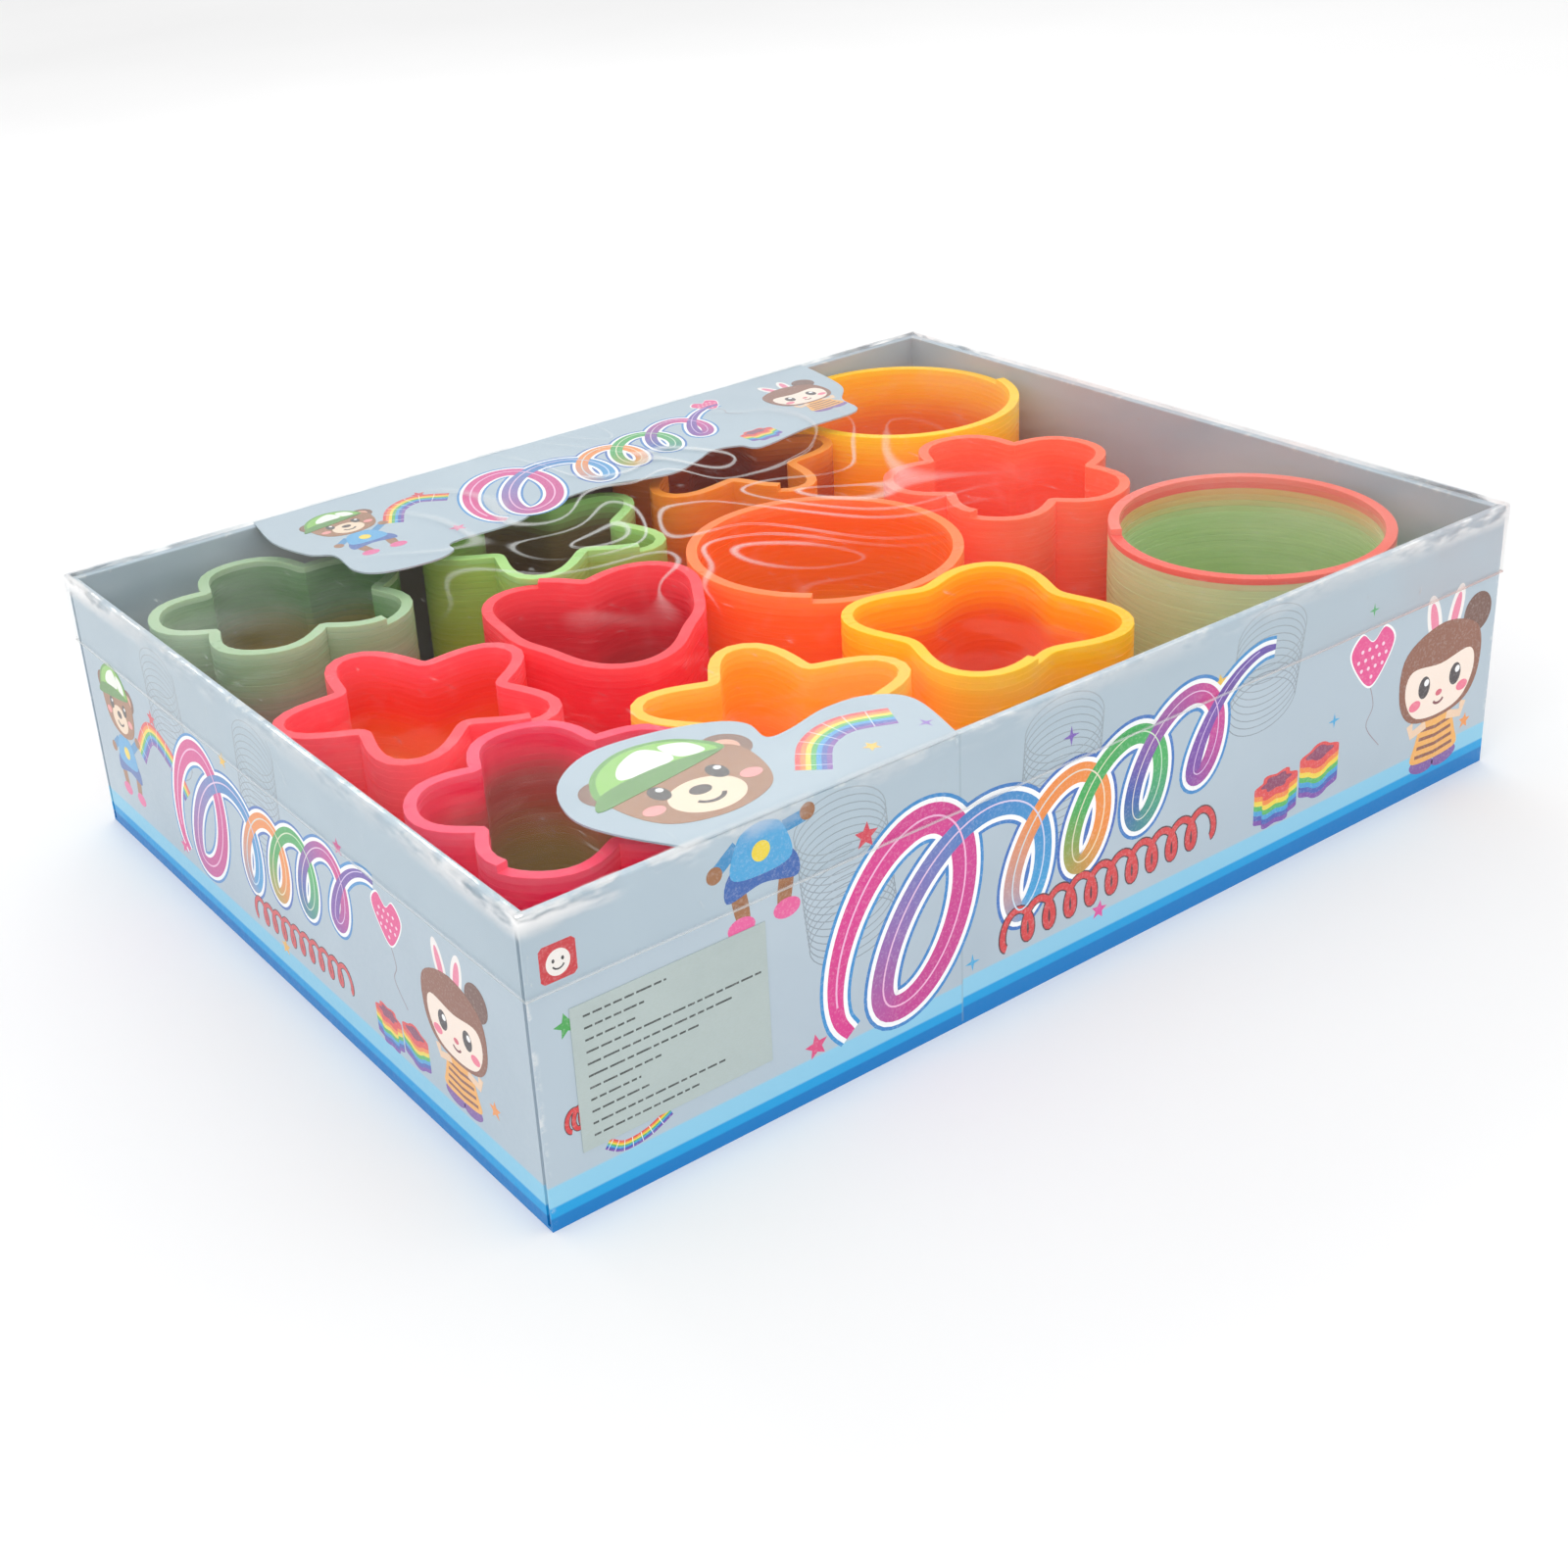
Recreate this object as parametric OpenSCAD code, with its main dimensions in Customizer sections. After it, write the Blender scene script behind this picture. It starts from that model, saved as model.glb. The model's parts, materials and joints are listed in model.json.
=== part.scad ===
// A boxed set of twelve plastic spring coils: a folded card tray with two die-cut
// flaps, a clear film lid that slips over it, and coils of four different outlines.
// Millimetres. The origin is under the middle of the tray, with +X along its length,
// -Y towards the printed front wall and +Z up.

/* [Coils] */
// Outside diameter of a round coil
coil_d = 75; // [60:0.5:90]
// Height of a coil with its turns closed
coil_h = 71; // [50:0.5:90]
// Width of the plastic strip that a coil is wound from
strip_w = 3; // [2:0.1:3.6]
// Height of one turn of the strip
turn_h = 1.75; // [1.2:0.05:2.4]
// Gap between a coil's last turn and the one below it
turn_gap = 0.05; // [0.02:0.01:0.2]
// How much narrower a star coil is, across its tips, than a round one
star_less = 4; // [4:0.5:15]
// How much narrower a flower coil is, across its lobes, than a round one
flower_less = 3; // [3:0.5:15]
// How much narrower a clover coil is, across its leaves, than a round one
clover_less = 3; // [2:0.5:15]
// How much narrower a heart coil is, from its point to its notch side, than a round one
heart_less = 5; // [4.5:0.5:15]

/* [Tray] */
// Spare length inside the tray
long_slack = 0.6; // [0.4:0.1:6]
// Spare width inside the tray
wide_slack = 4; // [3:0.5:10]
// Thickness of one layer of card in the walls
card_t = 0.6; // [0.4:0.05:0.8]
// Hollow between the two layers of a folded wall
wall_hollow = 1.2; // [0.8:0.1:2]
// Thickness of the floor, two layers glued together
floor_t = 0.8; // [0.6:0.1:2]
// Room between the coils and the rim of the tray
head_room = 3.4; // [2:0.1:8]
// Rounding of the folded rim
hem_r = 0.4; // [0.2:0.05:0.55]
// Thickness of the glued tabs inside the corners
tab_t = 0.5; // [0.3:0.05:0.7]
// Length of the glued tabs
tab_l = 24; // [12:1:40]

/* [Flaps] */
// Thickness of the die-cut flaps
flap_t = 0.5; // [0.3:0.05:0.8]
// Gap between a flap and the rim it folds over
flap_gap = 0.1; // [0.05:0.05:0.3]
// Length of the front flap along the wall
front_flap_l = 88; // [60:1:120]
// Depth of the front flap from its crease
front_flap_d = 47; // [30:1:60]
// Left end of the front flap from the left end of the tray
front_flap_from = 29; // [10:1:60]
// Depth of the back flap from its crease
back_flap_d = 63; // [40:1:70]
// Left end of the back flap from the left end of the tray
back_flap_from = 53; // [20:1:60]
// Right end of the back flap from the right end of the tray
back_flap_to = 46.4; // [20:0.2:60]

/* [Lid] */
// Thickness of the clear film
film_t = 0.4; // [0.3:0.05:0.8]
// Clearance between the film and the card
lid_gap = 0.3; // [0.2:0.05:0.6]
// Depth of the lid's skirt over the walls
skirt_h = 20; // [10:0.5:24]

/* [Label] */
// Length of the paper label
label_l = 49; // [30:1:60]
// Height of the paper label
label_h = 35; // [20:1:35]
// Thickness of the paper label
label_t = 0.2; // [0.1:0.05:0.3]
// Left end of the label from the left end of the tray
label_from = 9; // [4:0.5:20]
// Lower edge of the label above the floor
label_z = 15; // [6:0.5:16]

/* [Hidden] */
// Coils along the length of the tray, and rows of them across it
COLUMNS = 4;
ROWS = 3;
// Corners of an outline between one lobe or tip and the next
OUTLINE_STEPS = 90;
// Corners between two points of a flap's edge
EDGE_STEPS = 5;
EPS = 0.01;
wall_t = 2 * card_t + wall_hollow;
inner_l = COLUMNS * coil_d + long_slack;
inner_w = ROWS * coil_d + wide_slack;
tray_l = inner_l + 2 * wall_t;
tray_w = inner_w + 2 * wall_t;
back_flap_l = tray_l - back_flap_from - back_flap_to;
rim_z = floor_t + coil_h + head_room;
flap_z = rim_z + flap_gap;
lid_l = tray_l + 2 * (lid_gap + film_t);
lid_w = tray_w + 2 * (lid_gap + film_t);
film_z = flap_z + flap_t + lid_gap;
skirt_z = film_z + film_t - skirt_h;

// An outline is a sum of waves round the coil: [waves in a full turn, share of the radius]
ROUND = [[0, 1]];
STAR = [[0, 0.79], [5, 0.19], [10, 0.02]];
FLOWER = [[0, 0.885], [5, 0.14], [10, -0.025]];
CLOVER = [[0, 0.84], [4, 0.15], [8, 0.01]];
HEART = [[0, 0.83], [1, 0.02], [2, 0.02], [3, 0.13], [4, -0.04], [5, 0.05]];

// Where each coil stands: its outline, its width, the angle its first tip points to,
// and its centre in coil diameters from the middle of the tray
A1 = [FLOWER, coil_d - flower_less, 8, [-1.5, -0.97]];
A2 = [STAR, coil_d - star_less, 70, [-0.7, -0.945]];
A3 = [CLOVER, coil_d - clover_less, 43, [0.185, -0.905]];
A4 = [ROUND, coil_d, 0, [1.42, -0.955]];
B1 = [STAR, coil_d - star_less, 93, [-1.525, -0.13]];
B2 = [HEART, coil_d - heart_less, 250, [-0.716, 0.025]];
B3 = [ROUND, coil_d, 0, [0.205, -0.04]];
B4 = [FLOWER, coil_d - flower_less, 6, [1.18, 0.04]];
C1 = [FLOWER, coil_d - flower_less, 88, [-1.48, 0.92]];
C2 = [STAR, coil_d - star_less, 90, [-0.455, 0.805]];
C3 = [STAR, coil_d - star_less, 60, [0.505, 0.96]];
C4 = [ROUND, coil_d, 0, [1.485, 1.01]];

// Die-cut edges of the flaps, as shares of their length and depth
FRONT_EDGE = [
  [0.12, 0], [0.03, 0.3], [0, 0.55], [0.06, 0.83], [0.2, 1], [0.38, 0.98], [0.54, 0.87],
  [0.6, 0.74], [0.59, 0.57], [0.66, 0.56], [0.8, 0.62], [0.93, 0.58], [1, 0.4], [0.95, 0]
];
BACK_EDGE = [
  [0.015, 0], [0, 0.3], [0.015, 0.54], [0.04, 0.64], [0.035, 0.85], [0.06, 0.96],
  [0.125, 1], [0.165, 0.96], [0.18, 0.87], [0.28, 0.87], [0.34, 0.79], [0.44, 0.76],
  [0.54, 0.86], [0.6, 0.8], [0.64, 0.74], [0.68, 0.78], [0.7, 0.87], [0.8, 0.81],
  [0.9, 0.79], [0.92, 0.6], [0.96, 0.44], [0.98, 0.15], [0.985, 0]
];

CARD = "#e4eaf0";
PRINT_BLUE = "#3aa6d0";
FILM = [0.85, 0.92, 0.95, 0.35];
PAPER = "#d5dccf";

// Distance from a coil's middle to its outside, at an angle from its first tip
function reach(waves, d, a) = d / 2 * sum_of([for (w = waves) w[1] * cos(w[0] * a)]);
// How fast that distance grows with the angle, per radian
function reach_slope(waves, d, a) = -d / 2 * sum_of([for (w = waves) w[1] * w[0] * sin(w[0] * a)]);
function sum_of(v, i = 0) = i == len(v) ? 0 : v[i] + sum_of(v, i + 1);

// Point of an outline moved inwards, square to its edge, by a distance
function outline_point(waves, d, a, inwards) =
  let (r = reach(waves, d, a), s = reach_slope(waves, d, a), n = norm([r, s]))
  [(r - inwards * r / n) * cos(a) - inwards * s / n * sin(a),
   (r - inwards * r / n) * sin(a) + inwards * s / n * cos(a)];

function outline(waves, d, inwards) =
  [for (i = [0:OUTLINE_STEPS - 1]) outline_point(waves, d, 360 * i / OUTLINE_STEPS, inwards)];

// Point on a smooth curve through four neighbouring points, between the middle two
function on_curve(p, q, r, s, t) =
  ((2 * q) + (r - p) * t + (2 * p - 5 * q + 4 * r - s) * t * t + (3 * q - p - 3 * r + s) * t * t * t) / 2;

// A die-cut edge as a smooth curve from the first of its points to the last
function cut_edge(points, size) =
  let (last = len(points) - 1)
  [for (i = [0:last - 1], k = [0:EDGE_STEPS - 1])
     let (before = points[max(i - 1, 0)], after = points[min(i + 2, last)],
          c = on_curve(before, points[i], points[i + 1], after, k / EDGE_STEPS))
     [c[0] * size[0], max(c[1], 0) * size[1]],
   [points[last][0] * size[0], 0]];

// One layer of strip, or a closed stack of turns, with the coil's outline
module ring(coil, h) {
  if (coil[0] == ROUND)
    difference() {
      cylinder(h = h, d = coil[1], $fn = 96);
      translate([0, 0, -EPS]) cylinder(h = h + 2 * EPS, d = coil[1] - 2 * strip_w, $fn = 96);
    }
  else
    linear_extrude(h)
      difference() {
        polygon(outline(coil[0], coil[1], 0));
        polygon(outline(coil[0], coil[1], strip_w));
      }
}

module place(coil, z) {
  translate([coil[3][0] * coil_d, coil[3][1] * coil_d, z]) rotate(coil[2]) children();
}

// All the turns of a coil but the last
module coil_turns(coil, shade) {
  color(shade) place(coil, floor_t) ring(coil, coil_h - turn_h - turn_gap);
}

// The last turn, which is what the hand takes hold of
module coil_top(coil, shade) {
  color(shade) place(coil, floor_t + coil_h - turn_h) ring(coil, turn_h);
}

// Section of a folded wall: two layers of card joined by the rim, open at the foot
module wall_section() {
  h = rim_z - floor_t;
  difference() {
    union() {
      square([wall_t, h - hem_r]);
      translate([hem_r, 0]) square([wall_t - 2 * hem_r, h]);
      translate([hem_r, h - hem_r]) circle(hem_r, $fn = 24);
      translate([wall_t - hem_r, h - hem_r]) circle(hem_r, $fn = 24);
    }
    translate([card_t, -EPS]) square([wall_hollow, h - card_t + EPS]);
  }
}

// A folded wall of a length, standing on the floor with its outer face on the YZ plane
module folded_wall(l) {
  translate([0, l / 2, floor_t]) rotate([90, 0, 0]) linear_extrude(l) wall_section();
}

module tray_floor() {
  color(CARD) translate([-tray_l / 2, -tray_w / 2, 0]) cube([tray_l, tray_w, floor_t]);
}

module front_wall() {
  color(CARD) translate([0, -tray_w / 2, 0]) rotate(90) folded_wall(tray_l);
}

module back_wall() {
  color(CARD) translate([0, tray_w / 2, 0]) rotate(-90) folded_wall(tray_l);
}

module left_wall() {
  color(CARD) translate([-tray_l / 2, 0, 0]) folded_wall(inner_w);
}

module right_wall() {
  color(CARD) translate([tray_l / 2, 0, 0]) rotate(180) folded_wall(inner_w);
}

// Tabs of the side walls, glued to the inner layer of the front and back walls
module corner_tabs() {
  inset = wall_t - card_t - tab_t;
  tab_h = rim_z - floor_t - 2 * card_t;
  middle = [tray_l / 2 - card_t - tab_l / 2, tray_w / 2 - inset - tab_t / 2];
  color(CARD)
    for (x = [-1, 1], y = [-1, 1])
      translate([x * middle[0], y * middle[1], floor_t + tab_h / 2])
        cube([tab_l, tab_t, tab_h], center = true);
}

// A flap lying inwards from its crease, which runs along +X from the origin
module flap(edge, size) {
  crease_from = edge[0][0] * size[0];
  crease_to = edge[len(edge) - 1][0] * size[0];
  union() {
    linear_extrude(flap_t) polygon(cut_edge(edge, size));
    translate([crease_from, 0, flap_t / 2]) rotate([0, 90, 0])
      cylinder(h = crease_to - crease_from, d = flap_t, $fn = 24);
  }
}

module front_flap() {
  color(CARD)
    translate([-tray_l / 2 + front_flap_from, -tray_w / 2 + flap_t / 2, flap_z])
      flap(FRONT_EDGE, [front_flap_l, front_flap_d]);
}

module back_flap() {
  color(CARD)
    translate([-tray_l / 2 + back_flap_from, tray_w / 2 - flap_t / 2, flap_z])
      mirror([0, 1, 0]) flap(BACK_EDGE, [back_flap_l, back_flap_d]);
}

module label() {
  color(PAPER)
    translate([-tray_l / 2 + label_from, -tray_w / 2 - label_t, floor_t + label_z])
      cube([label_l, label_t, label_h]);
}

module lid_film() {
  color(FILM) translate([-lid_l / 2, -lid_w / 2, film_z]) cube([lid_l, lid_w, film_t]);
}

// One side of the lid's skirt, hanging from the film at a distance from the middle
module skirt(l, distance) {
  color(FILM) translate([-l / 2, -distance, skirt_z]) cube([l, film_t, film_z - skirt_z]);
}

module lid_front_skirt() { skirt(lid_l, lid_w / 2); }
module lid_back_skirt() { rotate(180) skirt(lid_l, lid_w / 2); }
module lid_left_skirt() { rotate(-90) skirt(lid_w - 2 * film_t, lid_l / 2); }
module lid_right_skirt() { rotate(90) skirt(lid_w - 2 * film_t, lid_l / 2); }

tray_floor();
front_wall();
back_wall();
left_wall();
right_wall();
corner_tabs();
front_flap();
back_flap();
label();
lid_film();
lid_front_skirt();
lid_back_skirt();
lid_left_skirt();
lid_right_skirt();
coil_turns(A1, "#e8395c");  // coil_a1_turns
coil_turns(A2, "#ffb52e");  // coil_a2_turns
coil_turns(A3, "#ff9d14");  // coil_a3_turns
coil_turns(A4, "#a9bf83");  // coil_a4_turns
coil_turns(B1, "#f7402f");  // coil_b1_turns
coil_turns(B2, "#dd2b3a");  // coil_b2_turns
coil_turns(B3, "#f2701c");  // coil_b3_turns
coil_turns(B4, "#ef5236");  // coil_b4_turns
coil_turns(C1, "#8fb06a");  // coil_c1_turns
coil_turns(C2, "#a8bf3a");  // coil_c2_turns
coil_turns(C3, "#e2561f");  // coil_c3_turns
coil_turns(C4, "#f59a1c");  // coil_c4_turns
coil_top(A1, "#ff6684");  // coil_a1_top
coil_top(A2, "#ffc64a");  // coil_a2_top
coil_top(A3, "#ffc21e");  // coil_a3_top
coil_top(A4, "#f08a80");  // coil_a4_top
coil_top(B1, "#ff5a66");  // coil_b1_top
coil_top(B2, "#ff4c58");  // coil_b2_top
coil_top(B3, "#ff7a48");  // coil_b3_top
coil_top(B4, "#ff7c62");  // coil_b4_top
coil_top(C1, "#bcd8b2");  // coil_c1_top
coil_top(C2, "#b4e08c");  // coil_c2_top
coil_top(C3, "#ff9a2e");  // coil_c3_top
coil_top(C4, "#ffd21e");  // coil_c4_top
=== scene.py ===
"""Looks for a boxed set of twelve plastic spring coils.

Everything is in metres, in the model's own frame: +X runs along the tray, -Y faces out of
its printed front wall and +Z is up. Artwork is laid out in millimetres on each wall.
"""

import json
import logging
import math
from collections.abc import Callable, Sequence
from dataclasses import dataclass
from enum import Enum

import bpy
import numpy as np
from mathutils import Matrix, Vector, noise
from mathutils.geometry import tessellate_polygon


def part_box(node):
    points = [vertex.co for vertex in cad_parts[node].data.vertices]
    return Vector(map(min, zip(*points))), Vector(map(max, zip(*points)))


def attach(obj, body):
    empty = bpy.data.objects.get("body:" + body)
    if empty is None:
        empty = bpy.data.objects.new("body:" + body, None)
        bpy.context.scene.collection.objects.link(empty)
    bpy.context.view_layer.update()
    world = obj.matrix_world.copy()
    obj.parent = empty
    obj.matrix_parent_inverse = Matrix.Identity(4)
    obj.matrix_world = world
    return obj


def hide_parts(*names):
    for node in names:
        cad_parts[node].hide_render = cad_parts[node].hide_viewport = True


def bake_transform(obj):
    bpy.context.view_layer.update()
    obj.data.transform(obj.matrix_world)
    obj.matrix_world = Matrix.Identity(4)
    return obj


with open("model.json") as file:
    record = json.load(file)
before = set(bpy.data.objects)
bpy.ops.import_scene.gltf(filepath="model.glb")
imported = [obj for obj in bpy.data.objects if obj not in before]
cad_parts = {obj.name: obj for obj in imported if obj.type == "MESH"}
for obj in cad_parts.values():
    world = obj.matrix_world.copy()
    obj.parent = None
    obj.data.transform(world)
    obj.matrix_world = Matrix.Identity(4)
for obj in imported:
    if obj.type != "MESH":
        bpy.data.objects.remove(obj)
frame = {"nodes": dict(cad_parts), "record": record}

LOG = logging.getLogger("coil_set")
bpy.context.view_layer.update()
MM = 0.001

Point = tuple[float, float]
Colour = tuple[float, float, float, float]
Stops = tuple[tuple[float, str], ...]
Place = tuple[float, float, float]
Socket = bpy.types.NodeSocket


def paint(code: str, alpha: float = 1.0) -> Colour:
    """Turn a colour as painters write it into the linear one that shaders use.

    Args:
        code: Red, green and blue as six hexadecimal digits after a hash.
        alpha: How much the colour covers.

    Returns:
        Red, green, blue and alpha.
    """
    shares = [int(code[i:i + 2], 16) / 255 for i in (1, 3, 5)]
    linear = [s / 12.92 if s <= 0.04045 else ((s + 0.055) / 1.055) ** 2.4 for s in shares]
    return (linear[0], linear[1], linear[2], alpha)


def smooth(points: Sequence[Point], closed: bool = True, steps: int = 6) -> list[Point]:
    """Run a smooth curve through a few given points.

    Args:
        points: The points, in order.
        closed: Whether the last point joins the first.
        steps: Corners from one point to the next.

    Returns:
        The curve's corners.
    """
    count = len(points)
    spans = count if closed else count - 1

    def at(i: int) -> Point:
        """Give a point by its number, round the end of a closed curve."""
        return points[i % count] if closed else points[min(max(i, 0), count - 1)]

    curve: list[Point] = []
    for i in range(spans):
        p, q, r, s = (at(i + k) for k in (-1, 0, 1, 2))
        for step in range(steps):
            t = step / steps
            curve.append(tuple(
                0.5 * (2 * q[a] + (r[a] - p[a]) * t + (2 * p[a] - 5 * q[a] + 4 * r[a] - s[a]) * t * t
                       + (3 * q[a] - p[a] - 3 * r[a] + s[a]) * t ** 3)
                for a in (0, 1)))
    return curve if closed else curve + [points[-1]]


def put(name: str, data: bpy.types.ID | None) -> bpy.types.Object:
    """Add an object to the scene, unturned and at the origin.

    Args:
        name: Its name.
        data: Its mesh, light or camera.

    Returns:
        The object.
    """
    made = bpy.data.objects.new(name, data)
    bpy.context.scene.collection.objects.link(made)
    return made


# ---------------------------------------------------------------- node trees


class Graph:
    """A node tree, with short ways to add a node, wire it and do sums."""

    def __init__(self, tree: bpy.types.NodeTree) -> None:
        """Hold the tree."""
        self.tree = tree

    def feed(self, socket: Socket, value: object) -> None:
        """Link a socket to another one, or give it a value."""
        if isinstance(value, Socket):
            self.tree.links.new(value, socket)
        else:
            socket.default_value = value

    def node(self, kind: str, inputs: dict | None = None, **settings: object) -> bpy.types.Node:
        """Add a node.

        Args:
            kind: Blender's name for the kind of node.
            inputs: Values or sockets for its inputs, by name or number.
            settings: The node's own options.

        Returns:
            The node.
        """
        made = self.tree.nodes.new(kind)
        for name, value in settings.items():
            setattr(made, name, value)
        for key, value in (inputs or {}).items():
            self.feed(made.inputs[key], value)
        return made

    def sum(self, operation: str, *values: object, clamp: bool = False) -> Socket:
        """Add a Math node.

        Args:
            operation: What it works out.
            values: Its numbers or sockets, in order.
            clamp: Whether the result stays from 0 to 1.

        Returns:
            The result's socket.
        """
        made = self.node("ShaderNodeMath", operation=operation, use_clamp=clamp)
        for socket, value in zip(made.inputs, values):
            self.feed(socket, value)
        return made.outputs[0]

    def times(self, first: object, second: object) -> Socket:
        """Multiply two numbers or sockets."""
        return self.sum("MULTIPLY", first, second)

    def plus(self, first: object, second: object, clamp: bool = False) -> Socket:
        """Add two numbers or sockets."""
        return self.sum("ADD", first, second, clamp=clamp)

    def minus(self, first: object, second: object) -> Socket:
        """Take one number or socket from another."""
        return self.sum("SUBTRACT", first, second)

    def span(self, value: object, low: float, high: float, out: Point = (0.0, 1.0)) -> Socket:
        """Map a range of a value smoothly on to another range.

        Args:
            value: The socket to map.
            low: Where the result starts to change.
            high: Where it stops.
            out: The result at those two ends.

        Returns:
            The result's socket.
        """
        made = self.node("ShaderNodeMapRange", {0: value, 1: low, 2: high, 3: out[0], 4: out[1]},
                         interpolation_type="SMOOTHSTEP")
        return made.outputs[0]

    def blend(self, share: object, first: object, second: object, how: str = "MIX") -> Socket:
        """Mix two colours.

        Args:
            share: How much of the second colour there is.
            first: The colour at 0.
            second: The colour at 1.
            how: Blender's name for the kind of mixing.

        Returns:
            The mixed colour's socket.
        """
        made = self.node("ShaderNodeMix", {0: share, 6: first, 7: second}, data_type="RGBA", blend_type=how)
        return made.outputs[2]

    def ramp(self, share: object, stops: Stops) -> Socket:
        """Pick a colour from a row of stops.

        Args:
            share: The place in the row.
            stops: Places from 0 to 1 and the colour at each.

        Returns:
            The colour's socket.
        """
        made = self.node("ShaderNodeValToRGB", {0: share})
        row = made.color_ramp
        row.interpolation = "EASE"
        while len(row.elements) < len(stops):
            row.elements.new(1.0)
        for element, (place, code) in zip(row.elements, stops):
            element.position = place
            element.color = paint(code)
        return made.outputs[0]

    def noise(self, vector: object, scale: float, detail: float = 2.0, rough: float = 0.5,
              bend: float = 0.0) -> Socket:
        """Add smooth noise.

        Args:
            vector: Where it is read.
            scale: How many lumps there are to a metre.
            detail: How many finer layers it has.
            rough: How strong the finer layers are.
            bend: How far it is pulled out of shape.

        Returns:
            The socket of its value, about 0.5.
        """
        made = self.node("ShaderNodeTexNoise", {"Vector": vector, "Scale": scale, "Detail": detail,
                                                "Roughness": rough, "Distortion": bend})
        return made.outputs[0]

    def place(self) -> Socket:
        """Give the point's own coordinates."""
        return self.node("ShaderNodeTexCoord").outputs["Object"]

    def stretched(self, vector: object, factors: Place) -> Socket:
        """Scale coordinates by a factor for each axis."""
        return self.node("ShaderNodeMapping", {"Vector": vector, "Scale": factors}).outputs[0]

    def bump(self, height: object, depth: float, strength: float = 1.0, under: object = None) -> Socket:
        """Turn a height into a bumpy normal.

        Args:
            height: The socket of the height.
            depth: How deep a height of 1 is, in metres.
            strength: How much of it shows.
            under: Another bump's normal that this one goes on.

        Returns:
            The normal's socket.
        """
        inputs = {"Height": height, "Distance": depth, "Strength": strength}
        if under is not None:
            inputs["Normal"] = under
        return self.node("ShaderNodeBump", inputs).outputs[0]


class Finish:
    """A look that pieces share. Its material is made the first time it is asked for."""

    name: str

    def shade(self, graph: Graph) -> Socket:
        """Build the nodes and give the shader's socket."""
        raise NotImplementedError

    def material(self) -> bpy.types.Material:
        """Give the finish's material, making it if it isn't there."""
        made = bpy.data.materials.get(self.name)
        if made is None:
            made = bpy.data.materials.new(self.name)
            made.use_nodes = True
            made.node_tree.nodes.clear()
            graph = Graph(made.node_tree)
            graph.node("ShaderNodeOutputMaterial", {"Surface": self.shade(graph)})
        return made

    def dress(self, *nodes: str) -> None:
        """Put the finish on CAD nodes, in every slot that they have."""
        for name in nodes:
            mesh = frame["nodes"][name].data
            if not mesh.materials:
                mesh.materials.append(self.material())
            for i in range(len(mesh.materials)):
                mesh.materials[i] = self.material()
            LOG.info("%s wears %s", name, self.name)


# ---------------------------------------------------------------- finishes


@dataclass(frozen=True)
class CoilPlastic(Finish):
    """Tinted, slightly milky plastic whose colours run up the coil, painted darker as shade on its far side,
    and painted to glow.
    """

    name: str
    near: Stops
    far_shaded: Stops
    # How strongly the plastic is painted to glow, in place of light shining through it
    painted_glow: float
    gloss: Point = (0.24, 0.42)

    MILK, CHALK = "#fff2e4", "#ffffff"
    DEPTH = 3 * MM

    def shade(self, graph: Graph) -> Socket:
        """Build the nodes and give the shader's socket."""
        here = graph.place()
        run = graph.node("ShaderNodeAttribute", attribute_name="run").outputs["Fac"]
        side = graph.node("ShaderNodeAttribute", attribute_name="side").outputs["Fac"]
        drift = graph.times(graph.minus(graph.noise(here, 34.0, 3.0), 0.5), 0.3)
        height = graph.sum("MULTIPLY_ADD", drift, graph.minus(1.0, run), run, clamp=True)
        # The far side's colours are partly the coil's own and partly painted shade, darker where that wall
        # lies in shade inside the coil
        near, far_shaded = graph.ramp(height, self.near), graph.ramp(height, self.far_shaded)
        colour = graph.blend(graph.span(side, 0.3, 0.75), near, far_shaded)
        streak = graph.noise(graph.stretched(here, (1.0, 1.0, 26.0)), 42.0, 4.0, 0.62)
        milky = graph.span(streak, 0.35, 0.72, (0.0, 0.2))
        colour = graph.blend(milky, colour, paint(self.MILK), "SOFT_LIGHT")
        cloud = graph.noise(here, 150.0, 3.0, 0.6)
        colour = graph.blend(graph.span(cloud, 0.5, 0.85, (0.0, 0.05)), colour, paint(self.CHALK))
        scratch = graph.noise(graph.stretched(here, (1.0, 1.0, 9.0)), 520.0, 3.0, 0.7)
        normal = graph.bump(scratch, 0.00005, 0.35)
        normal = graph.bump(graph.noise(here, 90.0, 2.0), 0.00035, 0.3, normal)
        # The emission is a painted glow that stands in for light shining through the tinted plastic
        shader = graph.node("ShaderNodeBsdfPrincipled", {
            "Base Color": colour, "Roughness": graph.span(streak, 0.3, 0.75, self.gloss),
            "Normal": normal, "Subsurface Weight": 0.4, "Subsurface Scale": self.DEPTH,
            "Subsurface Radius": (1.0, 0.7, 0.55), "Specular IOR Level": 0.22, "Specular Tint": colour,
            "Emission Color": colour, "Emission Strength": self.painted_glow})
        return shader.outputs[0]


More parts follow.
